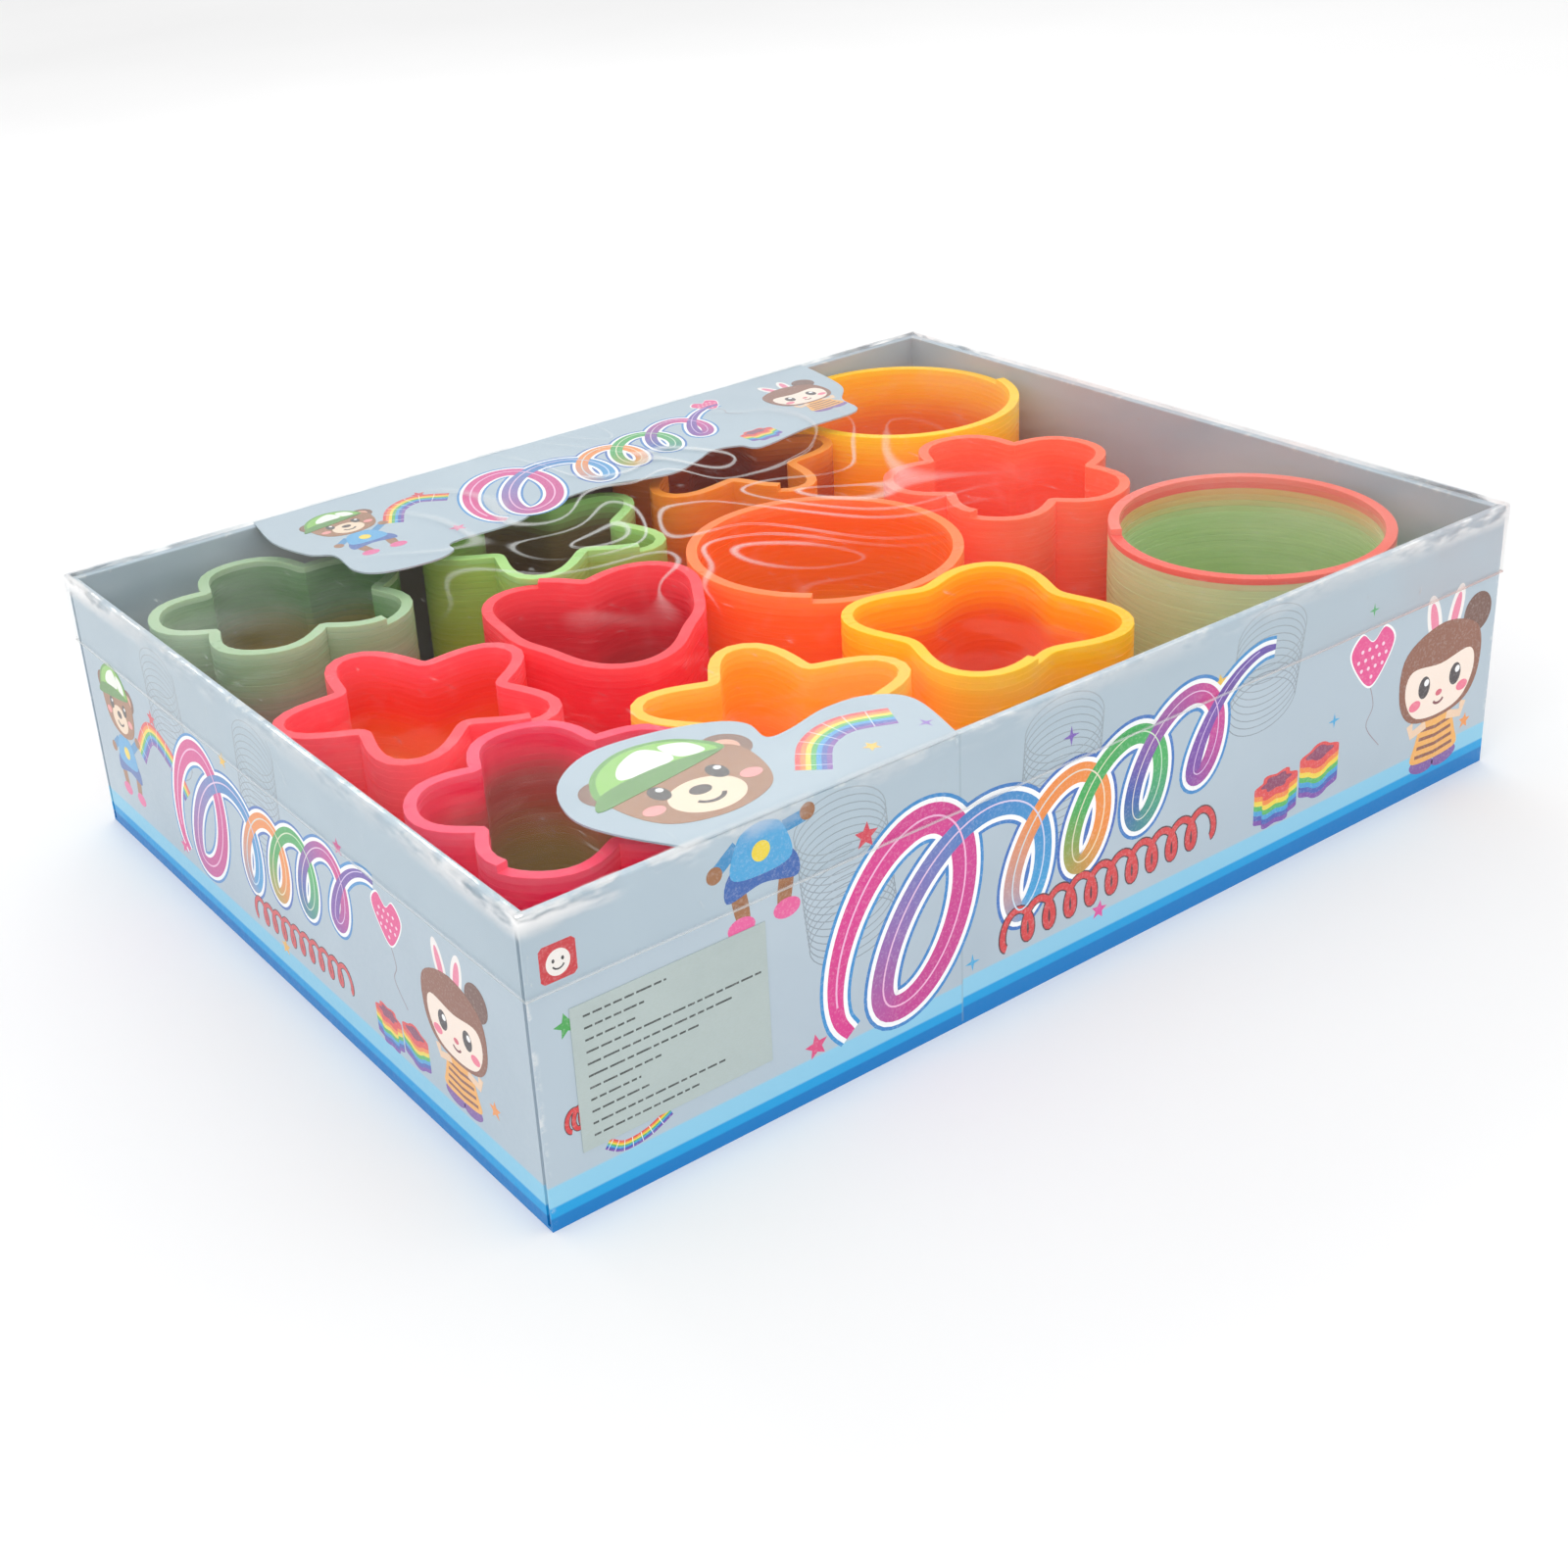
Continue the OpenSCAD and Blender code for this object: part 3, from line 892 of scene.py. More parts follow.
def pointed(x: float, y: float, r: float, tips: int, waist: float, turn: float = 90.0) -> list[Point]:
    """Lay out a star.

    Args:
        x: Its middle, across.
        y: Its middle, up.
        r: From its middle to a tip.
        tips: How many tips it has.
        waist: How far in it goes between tips, as a share of r.
        turn: Where the first tip points, in degrees.

    Returns:
        The corners.
    """
    corners = []
    for i in range(2 * tips):
        a = math.radians(turn + 180 * i / tips)
        reach = r if i % 2 == 0 else r * waist
        corners.append((x + reach * math.cos(a), y + reach * math.sin(a)))
    return corners


class Artwork:
    """Ink shapes on one panel. Each is a thin closed sheet a hair higher than the one under it."""

    LAYER = 0.011 * MM
    SUNK = 0.02 * MM

    def __init__(self, panel: Panel) -> None:
        """Start with a bare panel."""
        self.panel = panel
        self.level = 1.0
        self.spots: list[Vector] = []
        self.inks: list[Colour] = []
        self.faces: list[tuple[int, ...]] = []

    def fill(self, outline: Sequence[Point], code: str) -> None:
        """Fill an outline with one colour, on top of the last shape.

        Args:
            outline: Its corners, in either direction.
            code: Its colour.
        """
        area = sum(p[0] * q[1] - q[0] * p[1] for p, q in zip(outline, [*outline[1:], outline[0]]))
        corners = list(outline) if area > 0 else list(reversed(outline))
        first, count = len(self.spots), len(corners)
        for height in (self.level * self.LAYER, -self.SUNK):
            self.spots += [self.panel.spot(x, y, height) for x, y in corners]
        self.inks += [paint(code)] * (2 * count)
        for a, b, c in tessellate_polygon([[Vector((x, y, 0)) for x, y in corners]]):
            turn = ((corners[b][0] - corners[a][0]) * (corners[c][1] - corners[a][1])
                    - (corners[c][0] - corners[a][0]) * (corners[b][1] - corners[a][1]))
            face = (a, b, c) if turn > 0 else (c, b, a)
            self.faces.append(tuple(first + i for i in face))
            self.faces.append(tuple(first + count + i for i in reversed(face)))
        for i in range(count):
            j = (i + 1) % count
            self.faces.append((first + i, first + count + i, first + count + j, first + j))
        self.level += 1

    def stroke(self, path: Sequence[Point], width: float | Callable[[float], float], codes: Sequence[str],
               layers: float = 0.5) -> None:
        """Draw a ribbon along a path, each part a hair above the part before it.

        Args:
            path: Its points.
            width: Its width, or a function from the share of the path to the width.
            codes: Colours that it runs through.
            layers: How many layers it climbs along its length.
        """
        wide = width if callable(width) else lambda share: width
        count = len(path)
        first = len(self.spots)
        mixed = [np.array(paint(c)) for c in codes]
        for i, (x, y) in enumerate(path):
            share = i / (count - 1)
            before, after = path[max(i - 1, 0)], path[min(i + 1, count - 1)]
            dx, dy = after[0] - before[0], after[1] - before[1]
            size = math.hypot(dx, dy) or 1.0
            half = wide(share) / 2
            left = (x - dy / size * half, y + dx / size * half)
            right = (x + dy / size * half, y - dx / size * half)
            top = (self.level + layers * share) * self.LAYER
            self.spots += [self.panel.spot(*left, top), self.panel.spot(*right, top),
                           self.panel.spot(*right, -self.SUNK), self.panel.spot(*left, -self.SUNK)]
            place = share * (len(mixed) - 1)
            low = min(int(place), max(len(mixed) - 2, 0))
            high = min(low + 1, len(mixed) - 1)
            self.inks += [tuple(mixed[low] + (mixed[high] - mixed[low]) * (place - low))] * 4
        for i in range(count - 1):
            a = first + 4 * i
            for k in range(4):
                m = (k + 1) % 4
                self.faces.append((a + k, a + m, a + 4 + m, a + 4 + k))
        self.faces.append(tuple(first + k for k in (3, 2, 1, 0)))
        self.faces.append(tuple(first + 4 * (count - 1) + k for k in range(4)))
        self.level += layers + 0.5

    def settle(self, level: float = 1.0) -> None:
        """Go back to a lower layer for shapes that stand apart."""
        self.level = level

    def build(self, name: str, body: str, slot: str) -> bpy.types.Object:
        """Make the artwork one piece.

        Args:
            name: The piece's name.
            body: The body that it rides on.
            slot: The record's material slot that it goes with; not used.

        Returns:
            The piece.
        """
        mesh = bpy.data.meshes.new(name)
        mesh.from_pydata([tuple(v) for v in self.spots], [], self.faces)
        inks = mesh.attributes.new("ink", "FLOAT_COLOR", "POINT")
        inks.data.foreach_set("color", np.array(self.inks, np.float32).ravel())
        mesh.materials.append(PrintInk().material())
        piece = put(name, mesh)
        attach(piece, body)
        LOG.info("%s: %d faces", name, len(mesh.polygons))
        return piece


@dataclass(frozen=True)
class Figure:
    """Draws about a middle, with every place and length a share of one size."""

    art: Artwork
    x: float
    y: float
    size: float

    def at(self, u: float, v: float) -> Point:
        """Give a place in the artwork's millimetres."""
        return (self.x + u * self.size, self.y + v * self.size)

    def blob(self, code: str, *points: Point) -> None:
        """Fill a smooth outline."""
        self.art.fill(smooth([self.at(*point) for point in points]), code)

    def dot(self, code: str, u: float, v: float, across: float, tall: float | None = None,
            turn: float = 0.0, count: int = 32) -> None:
        """Fill an ellipse.

        Args:
            code: Its colour.
            u: Its middle, across.
            v: Its middle, up.
            across: Half its width.
            tall: Half its height, or the same as across.
            turn: How far it is turned, in degrees.
            count: How many corners it has.
        """
        height = (across if tall is None else tall) * self.size
        self.art.fill(ring(*self.at(u, v), across * self.size, height, turn, count=count), code)

    def line(self, code: str, width: float, *points: Point, layers: float = 0.1) -> None:
        """Draw a line of one colour through some points."""
        self.art.stroke([self.at(*point) for point in points], width * self.size, (code,), layers)

    def smile(self, code: str, width: float, v: float, across: float, tall: float, reach: float = 70.0,
              count: int = 12, layers: float = 0.2) -> None:
        """Draw the lower part of an ellipse as a line.

        Args:
            code: Its colour.
            width: The line's width.
            v: The ellipse's middle, up.
            across: Half its width.
            tall: Half its height.
            reach: How far the line goes to each side of the lowest point, in degrees.
            count: How many points there are.
            layers: How many layers it climbs.
        """
        arc = ring(*self.at(0, v), across * self.size, tall * self.size, start=270 - reach, end=270 + reach,
                   count=count)
        self.art.stroke(arc, width * self.size, (code,), layers)


RAINBOW = ("#e53a3a", "#f58a28", "#f6d832", "#4cb85a", "#2f9fd8", "#3a55b4", "#7a3fa8")


class Motif:
    """Small pictures that the artwork is made up of, all drawn from plain shapes."""

    # The swoosh's loops: the turn, then shares of its length, its height and its height again
    LOOPS = ((0.0, 0.13, 0.42, 0.4), (1.0, 0.2, 0.48, 0.42), (1.5, 0.34, 0.46, 0.3),
             (2.0, 0.43, 0.49, 0.25), (3.0, 0.55, 0.56, 0.23), (4.0, 0.68, 0.63, 0.23),
             (5.0, 0.81, 0.71, 0.22), (5.5, 0.93, 0.82, 0.14))
    RIBBON = ("#e0218a", "#d8248c", "#c8288e", "#2b7fc4", "#2a9fd8", "#f28c28", "#f28c28",
              "#2aa84a", "#38b05a", "#2b56ae", "#d8268c", "#7a3fa8", "#5a3fa8")

    def __init__(self, art: Artwork) -> None:
        """Draw on an artwork."""
        self.art = art

    def star(self, x: float, y: float, r: float, code: str, turn: float = 90.0) -> None:
        """Draw a five-pointed star."""
        self.art.settle(2)
        self.art.fill(pointed(x, y, r, 5, 0.45, turn), code)

    def sparkle(self, x: float, y: float, r: float, code: str) -> None:
        """Draw a thin four-pointed star."""
        self.art.settle(2)
        self.art.fill(pointed(x, y, r, 4, 0.26), code)

    def loops(self, x: float, low: float, high: float, r: float, lean: float = 0.0) -> None:
        """Draw a stretched spring as a column of thin grey rings.

        Args:
            x: Its middle at the foot.
            low: Its foot.
            high: Its head.
            r: The rings' radius.
            lean: How far its head is to the right of its foot.
        """
        self.art.settle(0.4)
        turns = (high - low - 1.2 * r) / 1.9
        count = int(turns * 30)
        path = []
        for i in range(count + 1):
            share = i / count
            a = math.tau * turns * share
            path.append((x + lean * share + r * math.cos(a),
                         low + 0.6 * r + (high - low - 1.2 * r) * share + 0.6 * r * math.sin(a)))
        self.art.stroke(path, 0.26, ("#8b98a3", "#9ca8b2"), 0.3)

    def heart(self, x: float, y: float, w: float, code: str = "#e8388c") -> None:
        """Draw a dotted heart balloon on a string.

        Args:
            x: Its middle, across.
            y: Its middle, up.
            w: Its width.
            code: Its colour.
        """
        self.art.settle(2)
        balloon = Figure(self.art, x, y, w)
        string = [balloon.at(*p) for p in ((0, -0.45), (0.1, -0.8), (-0.02, -1.1), (0.3, -1.5))]
        self.art.stroke(smooth(string, closed=False), 0.25, ("#9a8a94",))
        shape = ((0, 0.26), (0.26, 0.44), (0.5, 0.18), (0.3, -0.22), (0, -0.48), (-0.3, -0.22), (-0.5, 0.18),
                 (-0.26, 0.44))
        balloon.blob("#ffffff", *shape)
        balloon.blob(code, *((0.93 * u, 0.93 * v) for u, v in shape))
        level = self.art.level
        for row in range(-2, 3):
            for column in range(-3, 4):
                u, v = 0.15 * column + 0.075 * (row % 2), 0.15 * row
                if abs(u) + abs(v + 0.02) < 0.42 and not (abs(u) < 0.08 and v > 0.2):
                    self.art.settle(level)
                    balloon.dot("#fbd3e6", u, v, 0.032, count=10)

    def mini_coil(self, x: float, y: float, w: float, h: float, lobes: int) -> None:
        """Draw a little coil in all the colours, seen from a little above.

        Args:
            x: Its middle, across.
            y: Its foot.
            w: Its width.
            h: Its height.
            lobes: How many lobes its outline has.
        """
        self.art.settle(1)

        def band(level: float, a: float) -> Point:
            """Give a point of the outline at a level of the little coil."""
            r = 0.5 * w * (1 + 0.16 * math.cos(lobes * a))
            return (x + r * math.cos(a), y + 0.2 * w + level * (h - 0.42 * w) + 0.38 * r * math.sin(a))

        angles = [math.pi + math.pi * i / 24 for i in range(25)]
        count = len(RAINBOW)
        for i, code in enumerate(reversed(RAINBOW)):
            low, high = i / count, (i + 1) / count
            self.art.settle(1)
            self.art.fill([band(low, a) for a in angles] + [band(high, a) for a in reversed(angles)], code)
        self.art.settle(2)
        self.art.fill([band(1, math.tau * i / 40) for i in range(40)], RAINBOW[0])
        middle = (x, y + h - 0.22 * w)
        hole = [(middle[0] + 0.72 * (u - middle[0]), middle[1] + 0.72 * (v - middle[1]))
                for u, v in (band(1, math.tau * i / 40) for i in range(40))]
        self.art.fill(hole, "#8a2f5c")

    def swoosh(self, x: float, y: float, length: float, tall: float) -> None:
        """Draw one ribbon wound into rising loops, like a pulled spring, with a white and a blue edge.

        Args:
            x: Its left end.
            y: Its foot.
            length: How far it runs.
            tall: How tall it is.
        """
        turn, across, up, size = (np.array(row) for row in zip(*self.LOOPS))
        path = []
        for i in range(361):
            at = turn[-1] * i / 360
            a = math.radians(250) - math.tau * at
            r = float(np.interp(at, turn, size)) * tall
            rise = r * math.sin(a)
            u, v = float(np.interp(at, turn, across)) * length, float(np.interp(at, turn, up)) * tall
            path.append((x + u + 0.66 * r * math.cos(a) + 0.28 * rise, y + v + rise))
        path = smooth(path[::4], closed=False, steps=4)

        def pen(extra: float) -> Callable[[float], float]:
            """Give the stroke's width along the path, wider by an edge."""
            return lambda share: extra + tall * (0.15 - 0.06 * min(1.0, 3 * share)) * min(
                1.0, 9 * share + 0.35, 9 * (1 - share) + 0.3)

        self.art.settle(1)
        self.art.stroke(path, pen(0.075 * tall), ("#1f8fd0", "#2a5fb8", "#1f8fd0"), 0.4)
        self.art.stroke(path, pen(0.042 * tall), ("#ffffff",), 0.4)
        self.art.stroke(path, pen(0.0), self.RIBBON, 2.5)
        self.art.stroke([(u + 0.25, v + 0.5) for u, v in path[6:-6]], lambda share: 0.25 + 0.25 * (1 - share),
                        ("#f7b6dc", "#f7b6dc", "#bfe0f8", "#fce0b4", "#c4ecc9", "#f2c4ea", "#d5c4f0"), 2.5)

    def squiggle(self, x: float, y: float, length: float, tall: float, code: str = "#d92c30") -> None:
        """Draw a small tight spring with a dark edge.

        Args:
            x: Its left end.
            y: Its foot.
            length: How far it runs.
            tall: How tall it is.
            code: Its colour.
        """
        turns = max(3, int(length / tall * 1.25))
        count = turns * 24
        path = []
        for i in range(count + 1):
            a = math.tau * turns * i / count
            path.append((x + 0.3 * tall + (length - 0.6 * tall) * i / count - 0.3 * tall * math.sin(a),
                         y + 0.5 * tall * (1 - math.cos(a)) + 0.05 * length * i / count))
        self.art.settle(4)
        self.art.stroke(path, 0.27 * tall, ("#4a1c28",), 0.3)
        self.art.stroke(path, 0.19 * tall, (code,), 1.0)

    def cub_head(self, x: float, y: float, s: float, level: float = 1.0) -> None:
        """Draw a bear cub's head in a green cap.

        Args:
            x: The head's middle, across.
            y: The head's middle, up.
            s: Half the head's width.
            level: The layer that it starts on.
        """
        art, cub = self.art, Figure(self.art, x, y, s)
        art.settle(level)
        for side in (-1, 1):
            cub.dot("#7a4a2c", side * 0.86, 0.5, 0.34)
            cub.dot("#e8a98c", side * 0.86, 0.5, 0.19)
            art.settle(level)
        art.settle(level + 2)
        cub.blob("#a0683c", (-1, 0), (-0.9, 0.55), (0, 0.86), (0.9, 0.55), (1, 0), (0.72, -0.62), (0, -0.84),
                 (-0.72, -0.62))
        cub.dot("#f6dcc0", 0, -0.32, 0.5, 0.4)
        shared = art.level
        for side in (-1, 1):
            art.settle(shared)
            cub.dot("#2a1c18", side * 0.42, 0.06, 0.13, 0.18, count=20)
            cub.dot("#ffffff", side * 0.42 + 0.05, 0.13, 0.05, count=12)
            art.settle(shared)
            cub.dot("#f29a96", side * 0.7, -0.24, 0.15, 0.11, count=20)
        art.settle(shared)
        cub.dot("#3a2420", 0, -0.18, 0.15, 0.11, count=20)
        cub.smile("#3a2420", 0.06, -0.34, 0.2, 0.16)
        art.settle(shared)
        crown = ((-1.02, 0.3), (-0.84, 0.9), (-0.2, 1.26), (0.5, 1.1), (0.86, 0.5), (0, 0.52))
        cub.blob("#5a9f2e", *crown)
        cub.blob("#86c64a", *((0.9 * u, 0.72 + 0.88 * (v - 0.72)) for u, v in crown))
        cub.blob("#f4f6ee", (-0.55, 0.62), (-0.4, 0.95), (0.05, 1.12), (0.22, 0.66))
        art.settle(art.level - 1)
        cub.blob("#f4f6ee", (0.3, 0.66), (0.24, 1.04), (0.56, 0.92), (0.64, 0.6))
        cub.blob("#4c8c28", (-1.2, 0.16), (-0.9, 0.5), (0, 0.62), (0.8, 0.5), (0.3, 0.36), (-0.6, 0.22))

    def cub_body(self, x: float, y: float, s: float, lift: float = 0.22) -> None:
        """Draw a cub's body in a blue shirt and shorts, hanging from its neck.

        Args:
            x: The neck, across.
            y: The neck, up.
            s: Half the head's width.
            lift: How far above the neck its right arm ends, as a share of s.
        """
        art, cub = self.art, Figure(self.art, x, y, s)
        art.settle(1)
        for side in (-1, 1):
            cub.blob("#a0683c", (side * 0.42, -0.9), (side * 0.3, -1.7), (side * 0.56, -1.74),
                     (side * 0.7, -0.9))
            art.settle(1)
        art.settle(2)
        for side in (-1, 1):
            cub.dot("#e8589a", side * 0.5, -1.78, 0.3, 0.2, count=22)
            art.settle(2)
        art.settle(3)
        cub.blob("#2c5fae", (-0.6, -0.6), (-0.78, -1.2), (0, -1.08), (0.78, -1.2), (0.6, -0.6))
        cub.blob("#45a6dc", (-0.2, 0.1), (-0.5, -0.1), (-0.66, -0.76), (0, -0.9), (0.66, -0.76), (0.5, -0.1),
                 (0.2, 0.1))
        cub.dot("#f6d832", 0, -0.44, 0.2)
        art.settle(3)
        cub.line("#2f8cc4", 0.26, (-0.5, -0.16), (-0.95, -0.5))
        cub.dot("#a0683c", -1, -0.55, 0.17, count=18)
        art.settle(3)
        cub.line("#2f8cc4", 0.26, (0.5, -0.16), (0.98, lift))
        cub.dot("#a0683c", 1.04, lift + 0.05, 0.17, count=18)

    def rainbow_arc(self, points: Sequence[Point], width: float) -> None:
        """Draw a pulled spring as a bow of all the colours.

        Args:
            points: Given points along its middle.
            width: How wide it is.
        """
        path = smooth(points, closed=False, steps=8)
        count = len(RAINBOW)
        for i, code in enumerate(RAINBOW):
            self.art.settle(1)
            shift = (i - (count - 1) / 2) * width / count
            shifted = []
            for k, (u, v) in enumerate(path):
                before, after = path[max(k - 1, 0)], path[min(k + 1, len(path) - 1)]
                dx, dy = after[0] - before[0], after[1] - before[1]
                size = math.hypot(dx, dy) or 1.0
                shifted.append((u + dy / size * shift, v - dx / size * shift))
            self.art.stroke(shifted, width / count * 1.02, (code,), 0.2)
        self.art.settle(2)
        for k in range(2, len(path) - 2, 3):
            (u, v), (a, b) = path[k], path[k + 1]
            size = math.hypot(a - u, b - v) or 1.0
            nx, ny = -(b - v) / size * width / 2, (a - u) / size * width / 2
            self.art.settle(2)
            self.art.stroke([(u - nx, v - ny), (u + nx, v + ny)], 0.16, ("#f2f6f8",), 0.1)

    def bunny(self, x: float, y: float, s: float) -> None:
        """Draw a sitting bunny in a striped dress.

        Args:
            x: The middle of its head, across.
            y: The middle of its head, up.
            s: Half the head's width.
        """
        art, hare = self.art, Figure(self.art, x, y, s)
        art.settle(1)
        for side in (-1, 1):
            hare.dot("#7a4aa0", side * 0.28, -1.5, 0.3, 0.14, side * 8, count=22)
            art.settle(1)
        art.settle(2)
        hare.blob("#f6b04a", (-0.26, -0.6), (-0.5, -1.1), (-0.5, -1.42), (0.5, -1.42), (0.5, -1.1),
                  (0.26, -0.6))
        for i in range(4):
            level, half = -(0.86 + 0.15 * i), 0.36 + 0.035 * i
            art.settle(3)
            hare.line("#8a4a2c", 0.06, (-half, level), (0, level - 0.04), (half, level))
        art.settle(4)
        for side in (-1, 1):
            hare.line("#f3cfae", 0.15, (side * 0.26, -0.78), (side * 0.6, -0.86), (side * 0.66, -0.66))
            art.settle(4)
        art.settle(2)
        for side in (-1, 1):
            hare.dot("#f7f1ee", side * 0.26, 1.0, 0.17, 0.46, -side * 14, count=26)
            hare.dot("#ee7fa0", side * 0.26, 1.0, 0.09, 0.32, -side * 14, count=22)
            art.settle(2)
        art.settle(5)
        hare.dot("#6a3c28", 0.82, 0.82, 0.34)
        hare.blob("#8a4e30", (-0.98, -0.1), (-0.86, 0.6), (0, 0.9), (0.86, 0.6), (0.98, -0.1), (0.7, -0.6),
                  (0, -0.74), (-0.7, -0.6))
        hare.blob("#fdeadb", (-0.84, -0.12), (-0.7, 0.26), (0, 0.2), (0.7, 0.26), (0.84, -0.12),
                  (0.58, -0.56), (0, -0.68), (-0.58, -0.56))
        shared = art.level
        for side in (-1, 1):
            art.settle(shared)
            hare.dot("#2c1a20", side * 0.38, -0.1, 0.14, 0.19, count=20)
            hare.dot("#ffffff", side * 0.38 + 0.05, -0.03, 0.06, count=12)
            art.settle(shared)
            hare.dot("#f2708e", side * 0.58, -0.36, 0.14, 0.09, count=20)
        art.settle(shared)
        hare.dot("#d9566e", 0, -0.3, 0.08, 0.055, count=14)
        hare.smile("#7a3038", 0.045, -0.38, 0.13, 0.1, reach=65, count=10)

    def face_badge(self, x: float, y: float, s: float) -> None:
        """Draw a red rounded square with a plain smiling face.

        Args:
            x: Its middle, across.
            y: Its middle, up.
            s: Half its width.
        """
        art, face = self.art, Figure(self.art, x, y, s)
        art.settle(1)
        square = ((-0.8, -1), (0.8, -1), (1, -0.8), (1, 0.8), (0.8, 1), (-0.8, 1), (-1, 0.8), (-1, -0.8))
        art.fill([face.at(*corner) for corner in square], "#cf2b34")
        face.dot("#f7f0ea", 0, -0.05, 0.66, 0.7)
        shared = art.level
        for side in (-1, 1):
            art.settle(shared)
            face.dot("#2a2426", side * 0.26, 0.08, 0.08, 0.11, count=12)
        art.settle(shared)
        face.smile("#2a2426", 0.09, -0.12, 0.32, 0.28, layers=0.1)


@dataclass(frozen=True)
class PrintedBox:
    """The ink on the tray's four walls and on its two flaps, and the record's slots that it goes with."""

    wall_slot: str = "printed_card"
    flap_slot: str = "printed_flap"

    def panels(self) -> dict[str, Panel]:
        """Give the four outer walls as panels to print on, seen from outside."""
        low, high = (Vector(corner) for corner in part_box("tray_floor"))
        up = Vector((0, 0, 1))
        return {
            "front": Panel(Vector((low.x, low.y, 0)), Vector((1, 0, 0)), up),
            "back": Panel(Vector((high.x, high.y, 0)), Vector((-1, 0, 0)), up),
            "left": Panel(Vector((low.x, high.y, 0)), Vector((0, -1, 0)), up),
            "right": Panel(Vector((high.x, low.y, 0)), Vector((0, 1, 0)), up)}

    def long_wall(self, art: Artwork, with_cub: bool) -> None:
        """Draw what the front and back walls carry.

        Args:
            art: The wall's artwork.
            with_cub: Whether a cub's body hangs below the flap's head.
        """
        draw = Motif(art)
        draw.loops(82, 30, 75, 12.5, -3)
        draw.loops(143, 34, 75, 12.5, 2)
        draw.loops(212, 40, 75, 12.5, 3)
        draw.face_badge(7.8, 62.6, 4.3)
        draw.star(8.2, 47.4, 3.1, "#3fa34a", 100)
        draw.squiggle(5.5, 22, 8, 5)
        draw.rainbow_arc([(15, 15), (19, 12.6), (25, 13), (31, 15.6)], 2.6)
        draw.star(86, 60.5, 3.4, "#d9344a", 84)
        draw.star(70.2, 13.6, 3.3, "#e03a7a", 96)
        draw.sparkle(116.2, 15.4, 2.3, "#35a8dc")
        draw.star(157, 12.8, 2.6, "#e0409a", 80)
        draw.sparkle(147, 63, 2.6, "#7a55b8")
        draw.star(196.8, 59.8, 2.5, "#f2c12e", 98)
        draw.sparkle(253.6, 61.4, 1.9, "#3fae62")
        draw.sparkle(240.7, 34.6, 2.2, "#35a8dc")
        draw.star(296.2, 15.6, 2.4, "#f2953a", 84)
        draw.swoosh(71, 10, 152, 56)
        draw.squiggle(124, 14.5, 74, 9)
        draw.mini_coil(219.5, 12.4, 14, 15.5, 6)
        draw.mini_coil(235.8, 14.6, 13, 15.5, 4)
        draw.heart(254.2, 48, 18)
        draw.bunny(283.5, 33.5, 17)
        if with_cub:
            draw.cub_body(58, 73, 12, -0.1)

    def short_wall(self, art: Artwork) -> None:
        """Draw what the left and right walls carry.

        Args:
            art: The wall's artwork.
        """
        draw = Motif(art)
        draw.loops(112, 34, 74, 11, 2)
        draw.loops(60, 36, 74, 11, -2)
        draw.rainbow_arc([(34, 34), (44, 44), (56, 41), (64, 33)], 6.5)
        draw.cub_body(22.5, 34, 9.4)
        draw.cub_head(22.5, 43.5, 10.2, 4)
        draw.star(47, 49.4, 2.6, "#d9344a")
        draw.star(55, 14.8, 2.5, "#e8388c", 100)
        draw.star(93, 55, 2.3, "#f2c12e", 82)
        draw.star(114.5, 11.8, 2.4, "#f2b63a")
        draw.star(154.4, 57, 2.3, "#d9308c", 96)
        draw.star(214.8, 19.8, 2.3, "#f2953a")
        draw.swoosh(51, 13, 125, 44)
        draw.squiggle(98, 13.6, 54, 6.2)
        draw.mini_coil(168.5, 10.8, 10.5, 11.5, 6)
        draw.mini_coil(181, 12, 10, 11.5, 4)
        draw.heart(175, 47.5, 14)
        draw.bunny(201, 34, 13.5)

    def flap_panel(self, node: str) -> Panel:
        """Give a flap's upper face as a panel, read from the front of the box."""
        low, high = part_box(node)
        return Panel(Vector((low[0], low[1], high[2])), Vector((1, 0, 0)), Vector((0, 1, 0)))

    def front_flap(self, art: Artwork) -> None:
        """Draw the cub's head and its spring on the front flap."""
        draw = Motif(art)
        draw.rainbow_arc([(50, 8), (58, 17), (68, 20), (79, 16)], 8)
        draw.cub_head(27, 20.5, 18, 3)
        draw.star(66, 8, 2.2, "#f2c12e")
        draw.sparkle(82, 8.5, 2.2, "#8a5ac0")

    def back_flap(self, art: Artwork) -> None:
        """Draw the cub, the loops and the bunny's head on the back flap."""
        draw = Motif(art)
        draw.rainbow_arc([(32, 33), (38, 42), (46, 45), (54, 40)], 6)
        draw.cub_body(21, 33, 8.6)
        draw.cub_head(21, 42, 9.4, 4)
        draw.star(48.6, 48, 2.5, "#d9344a")
        draw.star(43.5, 16.5, 2.5, "#e8388c")
        draw.swoosh(50, 10, 114, 42)
        draw.heart(156, 52, 10)
        draw.mini_coil(151, 12, 10, 10.5, 6)
        draw.bunny(182, 38, 11)

    def build(self) -> None:
        """Print every wall and both flaps."""
        for side, panel in self.panels().items():
            art = Artwork(panel)
            if side in ("front", "back"):
                self.long_wall(art, side == "front")
            else:
                self.short_wall(art)
            art.build(f"{side}_print", "root", self.wall_slot)
        for side, draw in (("front", self.front_flap), ("back", self.back_flap)):
            art = Artwork(self.flap_panel(f"{side}_flap"))
            draw(art)
            art.build(f"{side}_flap_print", f"{side}_flap", self.flap_slot)


